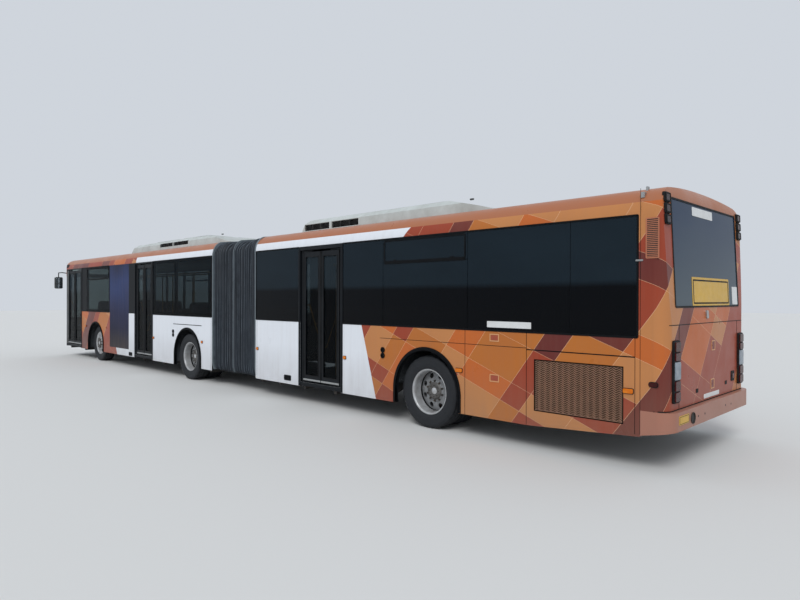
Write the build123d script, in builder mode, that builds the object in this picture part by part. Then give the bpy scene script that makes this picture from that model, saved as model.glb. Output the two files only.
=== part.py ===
# Articulated city bus: two saloon sections joined by a turntable and a folding bellows.
# Millimetres. X runs forward, Y to the bus's left (the kerb and door side), Z up from the ground.

from build123d import *
import os

os.makedirs("parts", exist_ok=True)

# Overall sizes
rear_section_length = 7331
bellows_length = 1601
front_section_length = 9068
body_width = 2500
mirror_reach = 280
rear_overhang = 3195
middle_axle_inset = 1058
middle_to_steered = 5380

# Body section heights
skirt_z = 283
rear_skirt_z = 373
cove_z = 2569
shoulder_z = 2850
crown_z = 2915
shoulder_drop_in = 220
window_sill_z = 1346
wall = 50
glass_recess = 8
glass_thickness = 7
glass_gap = 4
pillar_cover = 45

# Ends of the body
bumper_depth = 60
rear_corner = 150
rear_lean_z = 1500
rear_lean = 60
rear_window_top_z = 2745
front_corner_length = 200
front_bow = 75
front_corner_inset = 130
front_rake = 70
rear_seam = 320
front_end_depth = 210
rear_bumper_top_z = 621
front_bumper_top_z = 640
front_rake_z = 1200
front_round_z = 2685
roof_end_round = 240
roof_overrun = 80
corner_overrun = 2
skirt_rise = 1630

# Floor
floor_z = 355
floor_thickness = 60
riser_thickness = 60
panel_gap = 0.4
engine_deck_z = 1000
box_wall = 20
wheel_box_inner = 480
wheel_box_headroom = 110
rail_offset = 400
rail_width = 60
low_rail_height = 60
high_rail_height = 90
rail_over_bridge = 5
bridge_drop = 100
bridge_radius = 80
cross_width = 60
draw_bar_inset = 110

# Wheels
tyre_radius = 485
tyre_width = 280
bead_inset = 32
bead_taper = 8
rim_radius = 286
flange_radius = 306
lip_thickness = 8
barrel_thickness = 10
disc_thickness = 8
hub_dish_radius = 135
hub_cap_radius = 112
hub_depth = 55
twin_spacing = 330
twin_face_inset = 45
steered_face_inset = 100
kingpin_inset = 380
kingpin_radius = 20
hub_bore = 46
twin_disc = -120
steered_disc = 95
pin_gap = 0.3

# Door leaves, posts and arms
leaf_thickness = 34
door_plane_inset = 37
arm_half_width = 17
post_radius = 20
post_inset = 30
jamb_gap = 30
meeting_gap = 5
arm_thickness = 12
arm_clearance = 9
door_pin_radius = 8
door_pin_length = 16

# Places that follow from the sizes
overall_length = rear_section_length + bellows_length + front_section_length
half_width = body_width / 2
rear_x = -(overall_length + mirror_reach) / 2
front_x = rear_x + overall_length
rear_section_x = rear_x + rear_section_length
front_section_x = rear_section_x + bellows_length
pivot_x = (rear_section_x + front_section_x) / 2
rear_seam_x = rear_x + rear_seam
front_seam_x = front_x - front_end_depth
drive_axle_x = rear_x + rear_overhang
middle_axle_x = front_section_x + middle_axle_inset
steered_axle_x = middle_axle_x + middle_to_steered
wall_inner = half_width - wall
floor_under_z = floor_z - floor_thickness
rail_z = floor_under_z - low_rail_height
bridge_z = tyre_radius - bridge_drop
high_rail_z = bridge_z + bridge_radius + rail_over_bridge
mid_deck_z = high_rail_z + high_rail_height + floor_thickness
wheel_box_top_z = 2 * tyre_radius + wheel_box_headroom
half_tyre = tyre_width / 2
bead_radius = rim_radius + pin_gap
twin_outer_face = half_width - twin_face_inset
steered_outer_face = half_width - steered_face_inset
kingpin_y = half_width - kingpin_inset
door_plane_y = half_width - door_plane_inset
section_start = {"rear": rear_x, "front": front_section_x}
section_ends = {"rear": (rear_seam_x, rear_section_x), "front": (front_section_x, front_seam_x)}
sides = {"left": 1, "right": -1}

# Door openings: section, rear edge and front edge, head of the opening
doorways = {
    "rear": ("rear", rear_x + 4943, rear_x + 5982, 2509),
    "middle": ("front", front_section_x + 2809, front_section_x + 3764, 2540),
    "front": ("front", front_seam_x - 1277, front_seam_x - 50, 2548),
}

# Glass panes of each side wall: rear and front edge, from the rear end of the section
last_pane_end = front_seam_x - front_section_x - 50
panes = {
    ("rear", "left"): [(345, 1085), (1085, 2493), (2493, 4014), (4014, 4900), (6025, 7320)],
    ("rear", "right"): [(345, 1085), (1085, 2493), (2493, 4014), (4014, 5640), (5640, 7320)],
    ("front", "left"): [(13, 1638), (1638, 2768), (5463, 7158)],
    ("front", "right"): [(13, 1638), (1638, 3198), (3198, 4758), (4758, 6318), (6318, 7488),
                         (7488, last_pane_end)],
}

# Panes whose upper part is a hopper window
hopper_panes = {
    ("rear", "left"): [2],
    ("rear", "right"): [1, 2, 3],
    ("front", "left"): [2],
    ("front", "right"): [0, 1, 2, 3],
}
hopper_low_z = 2222

# Shut lines of the side flaps: start, end, low and high, in the rear section
shut_line_depth = 6
side_shut_lines = [
    (1632, 1638, 0, window_sill_z + 1),
    (2527, 2533, 0, window_sill_z + 1),
    (370, 1632, 1142, 1154),
    (1638, 4073, 1162, 1168),
]

# Wheel arches: axle place, radius of the arch, half length of the box inside
arches = {
    "drive": (drive_axle_x, tyre_radius + 71, tyre_radius + 105),
    "middle": (middle_axle_x, tyre_radius + 87, tyre_radius + 115),
    "steered": (steered_axle_x, tyre_radius + 63, tyre_radius + 120),
}
section_arches = {"rear": ["drive"], "front": ["middle", "steered"]}


def keep(piece, name):
    """Label a finished piece and write it."""
    piece.part.label = name
    export_step(piece.part, f"parts/{name}.step")


def at(station, section="rear"):
    """X of a place given by its distance from the rear end of its section."""
    return section_start[section] + station


def block(low, high, mode=Mode.ADD):
    """A square block between two corners, in the part being built."""
    size = [b - a for a, b in zip(low, high)]
    centre = [(a + b) / 2 for a, b in zip(low, high)]
    with Locations(tuple(centre)):
        Box(*size, mode=mode)


def body_form(inset, bottom_drop=0):
    """The body's outer form, moved in by inset everywhere except at the underside."""
    half = half_width - inset
    corner_half = half + corner_overrun
    shoulder_half = half - shoulder_drop_in
    tail_x = rear_x + bumper_depth + inset
    nose_x = front_x - inset
    roof_z = crown_z - inset
    over_z = roof_z + roof_overrun
    low = skirt_z - bottom_drop
    low_tail = rear_skirt_z - bottom_drop
    with BuildPart() as form:
        with BuildSketch(Plane.YZ.offset(rear_x - 100)):
            with BuildLine():
                Polyline((-half, cove_z), (-half, low - 50), (half, low - 50), (half, cove_z))
                TangentArc((half, cove_z), (shoulder_half, shoulder_z - inset), tangent=(0, 1))
                ThreePointArc((shoulder_half, shoulder_z - inset), (0, roof_z),
                              (-shoulder_half, shoulder_z - inset))
                TangentArc((-half, cove_z), (-shoulder_half, shoulder_z - inset), tangent=(0, 1))
            make_face()
        extrude(amount=overall_length + 200)
        with BuildSketch(Plane.XZ.offset(-half_width - 100)):
            with BuildLine():
                Polyline((tail_x, low_tail), (tail_x, rear_lean_z),
                         (tail_x + rear_lean, rear_window_top_z))
                TangentArc((tail_x + rear_lean, rear_window_top_z),
                           (tail_x + rear_lean + roof_end_round, over_z), tangent=(0, 1))
                Line((tail_x + rear_lean + roof_end_round, over_z),
                     (nose_x - front_rake - roof_end_round, over_z))
                TangentArc((nose_x - front_rake, front_round_z),
                           (nose_x - front_rake - roof_end_round, over_z), tangent=(0, 1))
                Polyline((nose_x - front_rake, front_round_z), (nose_x, front_rake_z),
                         (nose_x, low), (at(skirt_rise), low), (tail_x, low_tail))
            make_face()
        extrude(amount=body_width + 200, mode=Mode.INTERSECT)
        with BuildSketch(Plane.XY):
            with BuildLine():
                Line((nose_x - front_corner_length, corner_half), (tail_x + rear_corner, corner_half))
                TangentArc((tail_x + rear_corner, corner_half), (tail_x, corner_half - rear_corner),
                           tangent=(-1, 0))
                Line((tail_x, corner_half - rear_corner), (tail_x, rear_corner - corner_half))
                TangentArc((tail_x + rear_corner, -corner_half), (tail_x, rear_corner - corner_half),
                           tangent=(-1, 0))
                Line((tail_x + rear_corner, -corner_half), (nose_x - front_corner_length, -corner_half))
                TangentArc((nose_x - front_corner_length, -corner_half),
                           (nose_x - front_bow, front_corner_inset - corner_half), tangent=(1, 0))
                ThreePointArc((nose_x - front_bow, front_corner_inset - corner_half), (nose_x, 0),
                              (nose_x - front_bow, corner_half - front_corner_inset))
                TangentArc((nose_x - front_corner_length, corner_half),
                           (nose_x - front_bow, corner_half - front_corner_inset), tangent=(1, 0))
            make_face()
        extrude(amount=crown_z + 200, mode=Mode.INTERSECT)
    return form.part


# The body's forms: outside, inside of the walls, and the seat of the bonded glass
outer_form = body_form(0)
inner_form = body_form(wall, bottom_drop=200)
glass_seat_form = body_form(glass_recess, bottom_drop=200)
glass_face_form = body_form(glass_recess - glass_thickness)

with BuildPart() as shell:
    add(outer_form)
    add(inner_form, mode=Mode.SUBTRACT)

with BuildPart() as glass_layer:
    add(glass_face_form)
    add(glass_seat_form, mode=Mode.SUBTRACT)

with BuildPart() as recess_layer:
    add(outer_form)
    add(glass_seat_form, mode=Mode.SUBTRACT)


def cut_arch(sign, axle_x, radius):
    """Cut one round-topped wheel arch through a side wall."""
    with BuildSketch(Plane.XZ.offset(-sign * (half_width - wall / 2) - wall)) as arch:
        with Locations((axle_x, tyre_radius)):
            Circle(radius)
        with Locations((axle_x, tyre_radius / 2)):
            Rectangle(2 * radius, tyre_radius)
    extrude(arch.sketch, amount=2 * wall, mode=Mode.SUBTRACT)


# Radiator grille opening in the left wall, from the rear bumper
grille_start = 488
grille_end = 1535
grille_low_z = 460
grille_high_z = 1045
grille_depth = 30

# Side walls, each with its doorways, window openings and wheel arches
for section, (start_x, end_x) in section_ends.items():
    for side, sign in sides.items():
        y_out = sign * (half_width + 10)
        y_in = sign * (wall_inner - 10)
        y_seat = sign * (half_width - glass_recess)
        with BuildPart() as side_wall:
            add(shell.part)
            block((start_x, min(y_in, y_out), 0), (end_x, max(y_in, y_out), cove_z), Mode.INTERSECT)
            for arch in section_arches[section]:
                cut_arch(sign, arches[arch][0], arches[arch][1])
            for pane_start, pane_end in panes[section, side]:
                pane_x = at(pane_start, section)
                pane_end_x = at(pane_end, section)
                block((pane_x, min(y_seat, y_out), window_sill_z),
                      (pane_end_x, max(y_seat, y_out), cove_z), Mode.SUBTRACT)
                block((pane_x + pillar_cover, min(y_in, y_out), window_sill_z + 60),
                      (pane_end_x - pillar_cover, max(y_in, y_out), cove_z - 60), Mode.SUBTRACT)
            if (section, side) == ("rear", "left"):
                block((at(grille_start), half_width - grille_depth, grille_low_z),
                      (at(grille_end), half_width, grille_high_z), Mode.SUBTRACT)
                block((at(grille_start) + 30, y_in, grille_low_z + 30),
                      (at(grille_end) - 30, half_width, engine_deck_z - floor_thickness - 10),
                      Mode.SUBTRACT)
            if section == "rear":
                for start, end, z_low, z_high in side_shut_lines:
                    groove = sorted((sign * (half_width - shut_line_depth), y_out))
                    block((at(start), groove[0], z_low), (at(end), groove[1], z_high), Mode.SUBTRACT)
            for door_section, door_x, door_end_x, head_z in doorways.values():
                if door_section == section and side == "left":
                    block((door_x, y_in, 0), (door_end_x, y_out, head_z), Mode.SUBTRACT)
                    block((door_x, wall_inner, floor_under_z), (door_end_x, half_width, floor_z))
        keep(side_wall, f"{section}_{side}_side")

    with BuildPart() as glazing:
        for side, sign in sides.items():
            y_face = sign * (half_width - glass_recess + glass_thickness)
            y_back = sign * (half_width - glass_recess)
            for pane, (pane_start, pane_end) in enumerate(panes[section, side]):
                pane_x = at(pane_start, section) + glass_gap
                pane_end_x = at(pane_end, section) - glass_gap
                block((pane_x, min(y_face, y_back), window_sill_z + glass_gap),
                      (pane_end_x, max(y_face, y_back), cove_z - glass_gap))
                if pane in hopper_panes[section, side]:
                    block((pane_x, min(y_face, y_back), hopper_low_z - glass_gap),
                          (pane_end_x, max(y_face, y_back), hopper_low_z + glass_gap),
                          Mode.SUBTRACT)
    keep(glazing, f"{section}_section_windows")

    with BuildPart() as roof:
        add(shell.part)
        block((start_x, -half_width, cove_z), (end_x, half_width, crown_z + 50), Mode.INTERSECT)
    keep(roof, f"{section}_roof")

# Rear end panel, its window, bumper and lamps
rear_window_y = half_width - 240
rear_window_z = 1650
rear_glass_edge = 40
hatch_half_width = half_width - 320
hatch_top_z = 1475
hatch_line_width = 8

with BuildPart() as rear_panel:
    add(shell.part)
    block((rear_x, -half_width, rear_bumper_top_z), (rear_seam_x, half_width, crown_z + 50),
          Mode.INTERSECT)
    with BuildPart(mode=Mode.PRIVATE) as window_seat:
        add(recess_layer.part)
        block((rear_x, -rear_window_y, rear_window_z), (rear_seam_x, rear_window_y, rear_window_top_z),
              Mode.INTERSECT)
    add(window_seat.part, mode=Mode.SUBTRACT)
    tail_line_x = rear_x + bumper_depth + shut_line_depth
    for y in (hatch_half_width, -hatch_half_width):
        block((rear_x, y - hatch_line_width / 2, 0), (tail_line_x, y + hatch_line_width / 2,
                                                      hatch_top_z), Mode.SUBTRACT)
    block((rear_x, -hatch_half_width, hatch_top_z - hatch_line_width),
          (tail_line_x, hatch_half_width, hatch_top_z), Mode.SUBTRACT)
    block((rear_x, rear_glass_edge - rear_window_y, rear_window_z + rear_glass_edge),
          (rear_seam_x - 120, rear_window_y - rear_glass_edge, rear_window_top_z - rear_glass_edge),
          Mode.SUBTRACT)
keep(rear_panel, "rear_panel")

with BuildPart() as rear_window:
    add(glass_layer.part)
    block((rear_x, glass_gap - rear_window_y, rear_window_z + glass_gap),
          (rear_seam_x, rear_window_y - glass_gap, rear_window_top_z - glass_gap), Mode.INTERSECT)
keep(rear_window, "rear_window")

with BuildPart() as rear_bumper:
    with BuildSketch(Plane.XY.offset(rear_skirt_z)):
        with BuildLine():
            Polyline((rear_seam_x, half_width), (rear_x + rear_corner, half_width))
            TangentArc((rear_x + rear_corner, half_width), (rear_x, half_width - rear_corner),
                       tangent=(-1, 0))
            Line((rear_x, half_width - rear_corner), (rear_x, rear_corner - half_width))
            TangentArc((rear_x + rear_corner, -half_width), (rear_x, rear_corner - half_width),
                       tangent=(-1, 0))
            Polyline((rear_x + rear_corner, -half_width), (rear_seam_x, -half_width),
                     (rear_seam_x, -wall_inner), (rear_x + rear_corner + 40, -wall_inner),
                     (rear_x + bumper_depth + wall, 300 - wall_inner),
                     (rear_x + bumper_depth + wall, wall_inner - 300),
                     (rear_x + rear_corner + 40, wall_inner), (rear_seam_x, wall_inner),
                     (rear_seam_x, half_width))
        make_face()
    extrude(amount=rear_bumper_top_z - rear_skirt_z)
    with BuildSketch(Plane.XZ.offset(-half_width - 10)):
        with BuildLine():
            Polyline((rear_x - 1, rear_skirt_z - 1), (rear_seam_x, rear_skirt_z - 1),
                     (rear_x - 1, rear_skirt_z + 58), (rear_x - 1, rear_skirt_z - 1))
        make_face()
    extrude(amount=body_width + 20, mode=Mode.SUBTRACT)
keep(rear_bumper, "rear_bumper")

# Rear lamps: a tall cluster at each side, and a stack of three small lamps on each upper corner
cluster_edges = (half_width - 300, half_width - 115)
cluster_heights = (700, 1320)
cluster_proud = 22
marker_edges = (half_width - 200, half_width + 20)
marker_low_z = 2450
marker_height = 108
marker_pitch = 114
marker_reach = 205
marker_proud = 14


def lamp_layer(proud, low, high):
    """A layer that stands proud of the body between two corners, and its mirror image."""
    with BuildPart(mode=Mode.PRIVATE) as layer:
        add(body_form(-proud))
        add(outer_form, mode=Mode.SUBTRACT)
        block(low, high, Mode.INTERSECT)
        mirror(about=Plane.XZ)
    add(layer.part)


with BuildPart() as rear_lamps:
    lamp_layer(cluster_proud, (rear_x, cluster_edges[0], cluster_heights[0]),
               (rear_seam_x, cluster_edges[1], cluster_heights[1]))
    for lamp in range(3):
        lamp_z = marker_low_z + lamp * marker_pitch
        lamp_layer(marker_proud, (rear_x, marker_edges[0], lamp_z),
                   (rear_x + marker_reach, marker_edges[1], lamp_z + marker_height))
keep(rear_lamps, "rear_lamps")

# Front end: mask with the windscreen opening, bumper, glass and lamps
windscreen_y = half_width - 130
windscreen_z = 1050
windscreen_top_z = 2390
sign_glass_z = 2420
sign_glass_top_z = 2670
headlamp_rows = [
    ("headlamp", half_width - 470, half_width - 190, 700, 860),
    ("fog lamp", half_width - 450, half_width - 290, 430, 520),
]
tow_notch_width = 90
tow_notch_rise = 20

with BuildPart() as front_mask:
    add(shell.part)
    block((front_seam_x, -half_width, front_bumper_top_z), (front_x, half_width, crown_z + 50),
          Mode.INTERSECT)
    for z_low, z_high in [(windscreen_z, windscreen_top_z), (sign_glass_z, sign_glass_top_z)]:
        with BuildPart(mode=Mode.PRIVATE) as screen_seat:
            add(recess_layer.part)
            block((front_seam_x, -windscreen_y, z_low), (front_x, windscreen_y, z_high),
                  Mode.INTERSECT)
        add(screen_seat.part, mode=Mode.SUBTRACT)
        block((front_seam_x + wall, 40 - windscreen_y, z_low + 40),
              (front_x, windscreen_y - 40, z_high - 40), Mode.SUBTRACT)
    block((front_x - 150, headlamp_rows[0][1], headlamp_rows[0][3]),
          (front_x, headlamp_rows[0][2], headlamp_rows[0][4]), Mode.SUBTRACT)
    block((front_x - 150, -headlamp_rows[0][2], headlamp_rows[0][3]),
          (front_x, -headlamp_rows[0][1], headlamp_rows[0][4]), Mode.SUBTRACT)
keep(front_mask, "front_mask")

with BuildPart() as windscreen:
    for z_low, z_high in [(windscreen_z, windscreen_top_z), (sign_glass_z, sign_glass_top_z)]:
        with BuildPart(mode=Mode.PRIVATE) as screen:
            add(glass_layer.part)
            block((front_seam_x, glass_gap - windscreen_y, z_low + glass_gap),
                  (front_x, windscreen_y - glass_gap, z_high - glass_gap), Mode.INTERSECT)
        add(screen.part)
keep(windscreen, "windscreen")

with BuildPart() as front_bumper:
    add(shell.part)
    block((front_seam_x, -half_width, skirt_z), (front_x, half_width, front_bumper_top_z),
          Mode.INTERSECT)
    block((front_x - 150, headlamp_rows[1][1], headlamp_rows[1][3]),
          (front_x, headlamp_rows[1][2], headlamp_rows[1][4]), Mode.SUBTRACT)
    block((front_x - 150, -headlamp_rows[1][2], headlamp_rows[1][3]),
          (front_x, -headlamp_rows[1][1], headlamp_rows[1][4]), Mode.SUBTRACT)
    with BuildSketch(Plane.YZ.offset(front_seam_x - 10)) as tow_notch:
        with Locations((rail_offset, rail_z + low_rail_height / 2 + tow_notch_rise - tow_notch_width)):
            SlotOverall(3 * tow_notch_width, tow_notch_width, rotation=90)
    extrude(tow_notch.sketch, amount=front_end_depth + 20, mode=Mode.SUBTRACT)
keep(front_bumper, "front_bumper")

with BuildPart() as front_lamps:
    for which, y_low, y_high, z_low, z_high in headlamp_rows:
        with BuildPart(mode=Mode.PRIVATE) as lamp:
            add(shell.part)
            block((front_seam_x, y_low, z_low), (front_x, y_high, z_high), Mode.INTERSECT)
            mirror(about=Plane.XZ)
        add(lamp.part)
keep(front_lamps, "front_lamps")

# Wipers: parked blades and arms that follow the screen's bow
with BuildPart() as wipers:
    add(body_form(-14))
    add(outer_form, mode=Mode.SUBTRACT)
    with BuildPart(mode=Mode.PRIVATE) as wiper_outline:
        for sign in (1, -1):
            with BuildSketch(Plane.YZ.offset(front_x - 300)):
                with Locations((sign * 520, windscreen_z + 45)):
                    Rectangle(840, 22)
                with Locations((sign * 330, windscreen_z - 5)):
                    Rectangle(480, 26, rotation=sign * 12)
            extrude(amount=400)
    add(wiper_outline.part, mode=Mode.INTERSECT)
keep(wipers, "wipers")


def floor_piece(profile, axles, raised_axles, name, platforms, cross_joints=(), long_joints=()):
    """A floor swept across the saloon from its side profile, with the wheel boxes on it.

    Its panels part at the joints: cross joints at an X, long joints at a Y between two X."""
    with BuildPart() as floor:
        with BuildSketch(Plane.XZ.offset(-wall_inner)):
            with BuildLine():
                Polyline(*profile, close=True)
            make_face()
        extrude(amount=2 * wall_inner)
        for low, high in platforms:
            block(low, high)
        for axle in axles:
            axle_x, radius, half_box = arches[axle]
            for sign in (1, -1):
                shell_y = sign * (wheel_box_inner - box_wall)
                edge_y = sign * wall_inner
                block((axle_x - half_box - box_wall, min(shell_y, edge_y), floor_under_z),
                      (axle_x + half_box + box_wall, max(shell_y, edge_y), wheel_box_top_z))
        for axle in axles:
            axle_x, radius, half_box = arches[axle]
            for sign in (1, -1):
                inner_y = sign * wheel_box_inner
                edge_y = sign * (wall_inner + 1)
                block((axle_x - half_box, min(inner_y, edge_y), 0),
                      (axle_x + half_box, max(inner_y, edge_y), wheel_box_top_z - box_wall),
                      Mode.SUBTRACT)
        for axle, under_z in raised_axles:
            axle_x, radius, half_box = arches[axle]
            block((axle_x - half_box - box_wall, -wall_inner, 0),
                  (axle_x + half_box + box_wall, wall_inner, under_z), Mode.SUBTRACT)
        add(inner_form, mode=Mode.INTERSECT)
        for x in cross_joints:
            block((x - panel_gap / 2, -half_width, 0), (x + panel_gap / 2, half_width, crown_z),
                  Mode.SUBTRACT)
        for y, start_x, end_x in long_joints:
            block((start_x, y - panel_gap / 2, 0), (end_x, y + panel_gap / 2, crown_z),
                  Mode.SUBTRACT)
    keep(floor, name)


# Rear floor: low by the door, one deck over the drive axle, one over the engine
step_1_x = at(4670)
step_2_x = at(4400)
deck_step_x = at(2270)
engine_step_x = at(2010)
middle_step_z = (floor_z + mid_deck_z) / 2
upper_step_z = (mid_deck_z + engine_deck_z) / 2
rear_floor_profile = [
    (rear_section_x, floor_z),
    (step_1_x, floor_z),
    (step_1_x, middle_step_z),
    (step_2_x, middle_step_z),
    (step_2_x, mid_deck_z),
    (deck_step_x, mid_deck_z),
    (deck_step_x, upper_step_z),
    (engine_step_x, upper_step_z),
    (engine_step_x, engine_deck_z),
    (rear_x, engine_deck_z),
    (rear_x, engine_deck_z - floor_thickness),
    (engine_step_x - riser_thickness, engine_deck_z - floor_thickness),
    (engine_step_x - riser_thickness, upper_step_z - floor_thickness),
    (deck_step_x - riser_thickness, upper_step_z - floor_thickness),
    (deck_step_x - riser_thickness, mid_deck_z - floor_thickness),
    (step_2_x - riser_thickness, mid_deck_z - floor_thickness),
    (step_2_x - riser_thickness, middle_step_z - floor_thickness),
    (step_1_x - riser_thickness, middle_step_z - floor_thickness),
    (step_1_x - riser_thickness, floor_under_z),
    (rear_section_x, floor_under_z),
]
step_places = [step_1_x, step_2_x, deck_step_x, engine_step_x]
box_side_y = wheel_box_inner - box_wall
floor_piece(rear_floor_profile, ["drive"], [("drive", mid_deck_z - floor_thickness)],
            "rear_floor", [],
            [x - back for x in step_places for back in (0, riser_thickness)],
            [(y, deck_step_x, step_2_x - riser_thickness) for y in (box_side_y, -box_side_y)])

front_floor_profile = [
    (front_section_x, floor_z),
    (front_x, floor_z),
    (front_x, floor_under_z),
    (front_section_x, floor_under_z),
]
driver_floor_z = 560
driver_floor_x = front_seam_x - 1230
driver_platform = ((driver_floor_x, -wall_inner, floor_z), (front_x, -330, driver_floor_z))
floor_piece(front_floor_profile, ["middle", "steered"], [], "front_floor", [driver_platform])

# Chassis: long rails with cross members, the rear ones raised over the drive axle
neck_z = middle_step_z - floor_thickness - 2
rear_rail_profile = [
    (rear_section_x - 40, rail_z),
    (at(4560), rail_z),
    (at(4180), high_rail_z),
    (at(330), high_rail_z),
    (at(330), high_rail_z + high_rail_height),
    (at(4300), high_rail_z + high_rail_height),
    (at(4330), neck_z),
    (at(4595), neck_z),
    (at(4607), rail_z + low_rail_height),
    (rear_section_x - 40, rail_z + low_rail_height),
]
with BuildPart() as rear_chassis:
    for sign in (1, -1):
        with BuildSketch(Plane.XZ.offset(-sign * rail_offset - rail_width / 2)):
            with BuildLine():
                Polyline(*rear_rail_profile, close=True)
            make_face()
        extrude(amount=rail_width)
    for station in (5100, 5900, 6600, rear_section_length - draw_bar_inset - cross_width):
        block((at(station), -wall_inner, rail_z),
              (at(station) + cross_width, wall_inner, rail_z + low_rail_height))
    for station in (380, 2100, 4100):
        block((at(station), -rail_offset, high_rail_z),
              (at(station) + cross_width, rail_offset, high_rail_z + high_rail_height))
keep(rear_chassis, "rear_chassis")

tow_socket_radius = 30
tow_bore_radius = 20
tow_socket_length = 150
with BuildPart() as front_chassis:
    for sign in (1, -1):
        block((front_section_x + 40, sign * rail_offset - rail_width / 2, rail_z),
              (front_seam_x - 60, sign * rail_offset + rail_width / 2, rail_z + low_rail_height))
    for station in (draw_bar_inset, 2268, 3368, 4668, 7368, front_seam_x - front_section_x - 290):
        block((at(station, "front"), -wall_inner, rail_z),
              (at(station, "front") + cross_width, wall_inner, rail_z + low_rail_height))
    with Locations(Location((front_seam_x - 60, rail_offset, rail_z + low_rail_height / 2), (0, 90, 0))):
        Cylinder(tow_socket_radius, tow_socket_length, align=(Align.CENTER, Align.CENTER, Align.MIN))
        Cylinder(tow_bore_radius, tow_socket_length, align=(Align.CENTER, Align.CENTER, Align.MIN),
                 mode=Mode.SUBTRACT)
keep(front_chassis, "front_chassis")

# Engine: one closed block, hung between the raised rails under the rear seats
engine_width = 2 * rail_offset - rail_width
with BuildPart() as engine:
    block((at(520), -engine_width / 2, 330), (at(1900), engine_width / 2, 920))
keep(engine, "engine")

# Axle beams: dropped in the middle so that the floor stays low
beam_low_z = 150
beam_depth = rail_z - beam_low_z
riser_y = 490
riser_width = 80
beam_half_width = 50


def beam_outline(points, axle_x):
    """A beam with the same outline on both sides, in front view."""
    mirrored = [(-y, z) for y, z in reversed(points) if y > 0]
    with BuildSketch(Plane.YZ.offset(axle_x - beam_half_width)) as outline:
        with BuildLine():
            Polyline(*points, *mirrored, close=True)
        make_face()
    extrude(outline.sketch, amount=2 * beam_half_width)


twin_hub_y = twin_outer_face - half_tyre + twin_disc
hub_reach = twin_hub_y + hub_depth - riser_y - riser_width
with BuildPart() as middle_axle:
    beam_outline([(0, beam_low_z), (riser_y + riser_width - 30, beam_low_z),
                  (riser_y + riser_width, beam_low_z + 30), (riser_y + riser_width, tyre_radius + 60),
                  (riser_y, tyre_radius + 60), (riser_y, rail_z), (0, rail_z)], middle_axle_x)
    for sign in (1, -1):
        with Locations(Location((middle_axle_x, sign * riser_y, tyre_radius), (-sign * 90, 0, 0))):
            Cylinder(hub_bore - pin_gap, riser_width + hub_reach - 10,
                     align=(Align.CENTER, Align.CENTER, Align.MIN))
keep(middle_axle, "middle_axle")

knuckle_eye_radius = 50
knuckle_eye_height = 120
eye_low_z = tyre_radius - knuckle_eye_height / 2
with BuildPart() as front_axle_beam:
    beam_outline([(0, beam_low_z), (kingpin_y - 330, beam_low_z), (kingpin_y - 150, eye_low_z),
                  (kingpin_y, eye_low_z), (kingpin_y, eye_low_z + knuckle_eye_height),
                  (kingpin_y - 200, eye_low_z + knuckle_eye_height), (kingpin_y - 380, rail_z),
                  (0, rail_z)], steered_axle_x)
    for sign in (1, -1):
        with Locations((steered_axle_x, sign * kingpin_y, tyre_radius)):
            Cylinder(knuckle_eye_radius, knuckle_eye_height)
    for sign in (1, -1):
        with Locations((steered_axle_x, sign * kingpin_y, tyre_radius)):
            Cylinder(kingpin_radius + pin_gap, knuckle_eye_height + 10, mode=Mode.SUBTRACT)
keep(front_axle_beam, "front_axle_beam")

# Steering knuckles: two ears round the beam's eye, a back plate and the wheel spindle
ear_gap = 3
ear_thickness = 34
plate_y = 66
plate_thickness = 24
for side, sign in sides.items():
    with BuildPart() as knuckle:
        for ear_z in (eye_low_z - ear_gap - ear_thickness,
                      eye_low_z + knuckle_eye_height + ear_gap):
            with BuildSketch(Plane.XY.offset(ear_z)):
                with Locations((steered_axle_x, sign * kingpin_y)):
                    Circle(knuckle_eye_radius)
                with Locations((steered_axle_x, sign * (kingpin_y + (plate_y + plate_thickness) / 2))):
                    Rectangle(90, plate_y + plate_thickness)
            extrude(amount=ear_thickness)
        plate_reach = sorted((sign * (kingpin_y + plate_y),
                              sign * (kingpin_y + plate_y + plate_thickness)))
        ear_span = knuckle_eye_height / 2 + ear_gap + ear_thickness
        block((steered_axle_x - 45, plate_reach[0], tyre_radius - ear_span),
              (steered_axle_x + 45, plate_reach[1], tyre_radius + ear_span))
        with Locations((steered_axle_x, sign * kingpin_y, tyre_radius)):
            Cylinder(kingpin_radius, 2 * ear_span)
        with Locations(Location((steered_axle_x, sign * (kingpin_y + plate_y), tyre_radius),
                                (-sign * 90, 0, 0))):
            Cylinder(hub_bore - pin_gap, 190, align=(Align.CENTER, Align.CENTER, Align.MIN))
    keep(knuckle, f"{side}_knuckle")

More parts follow.
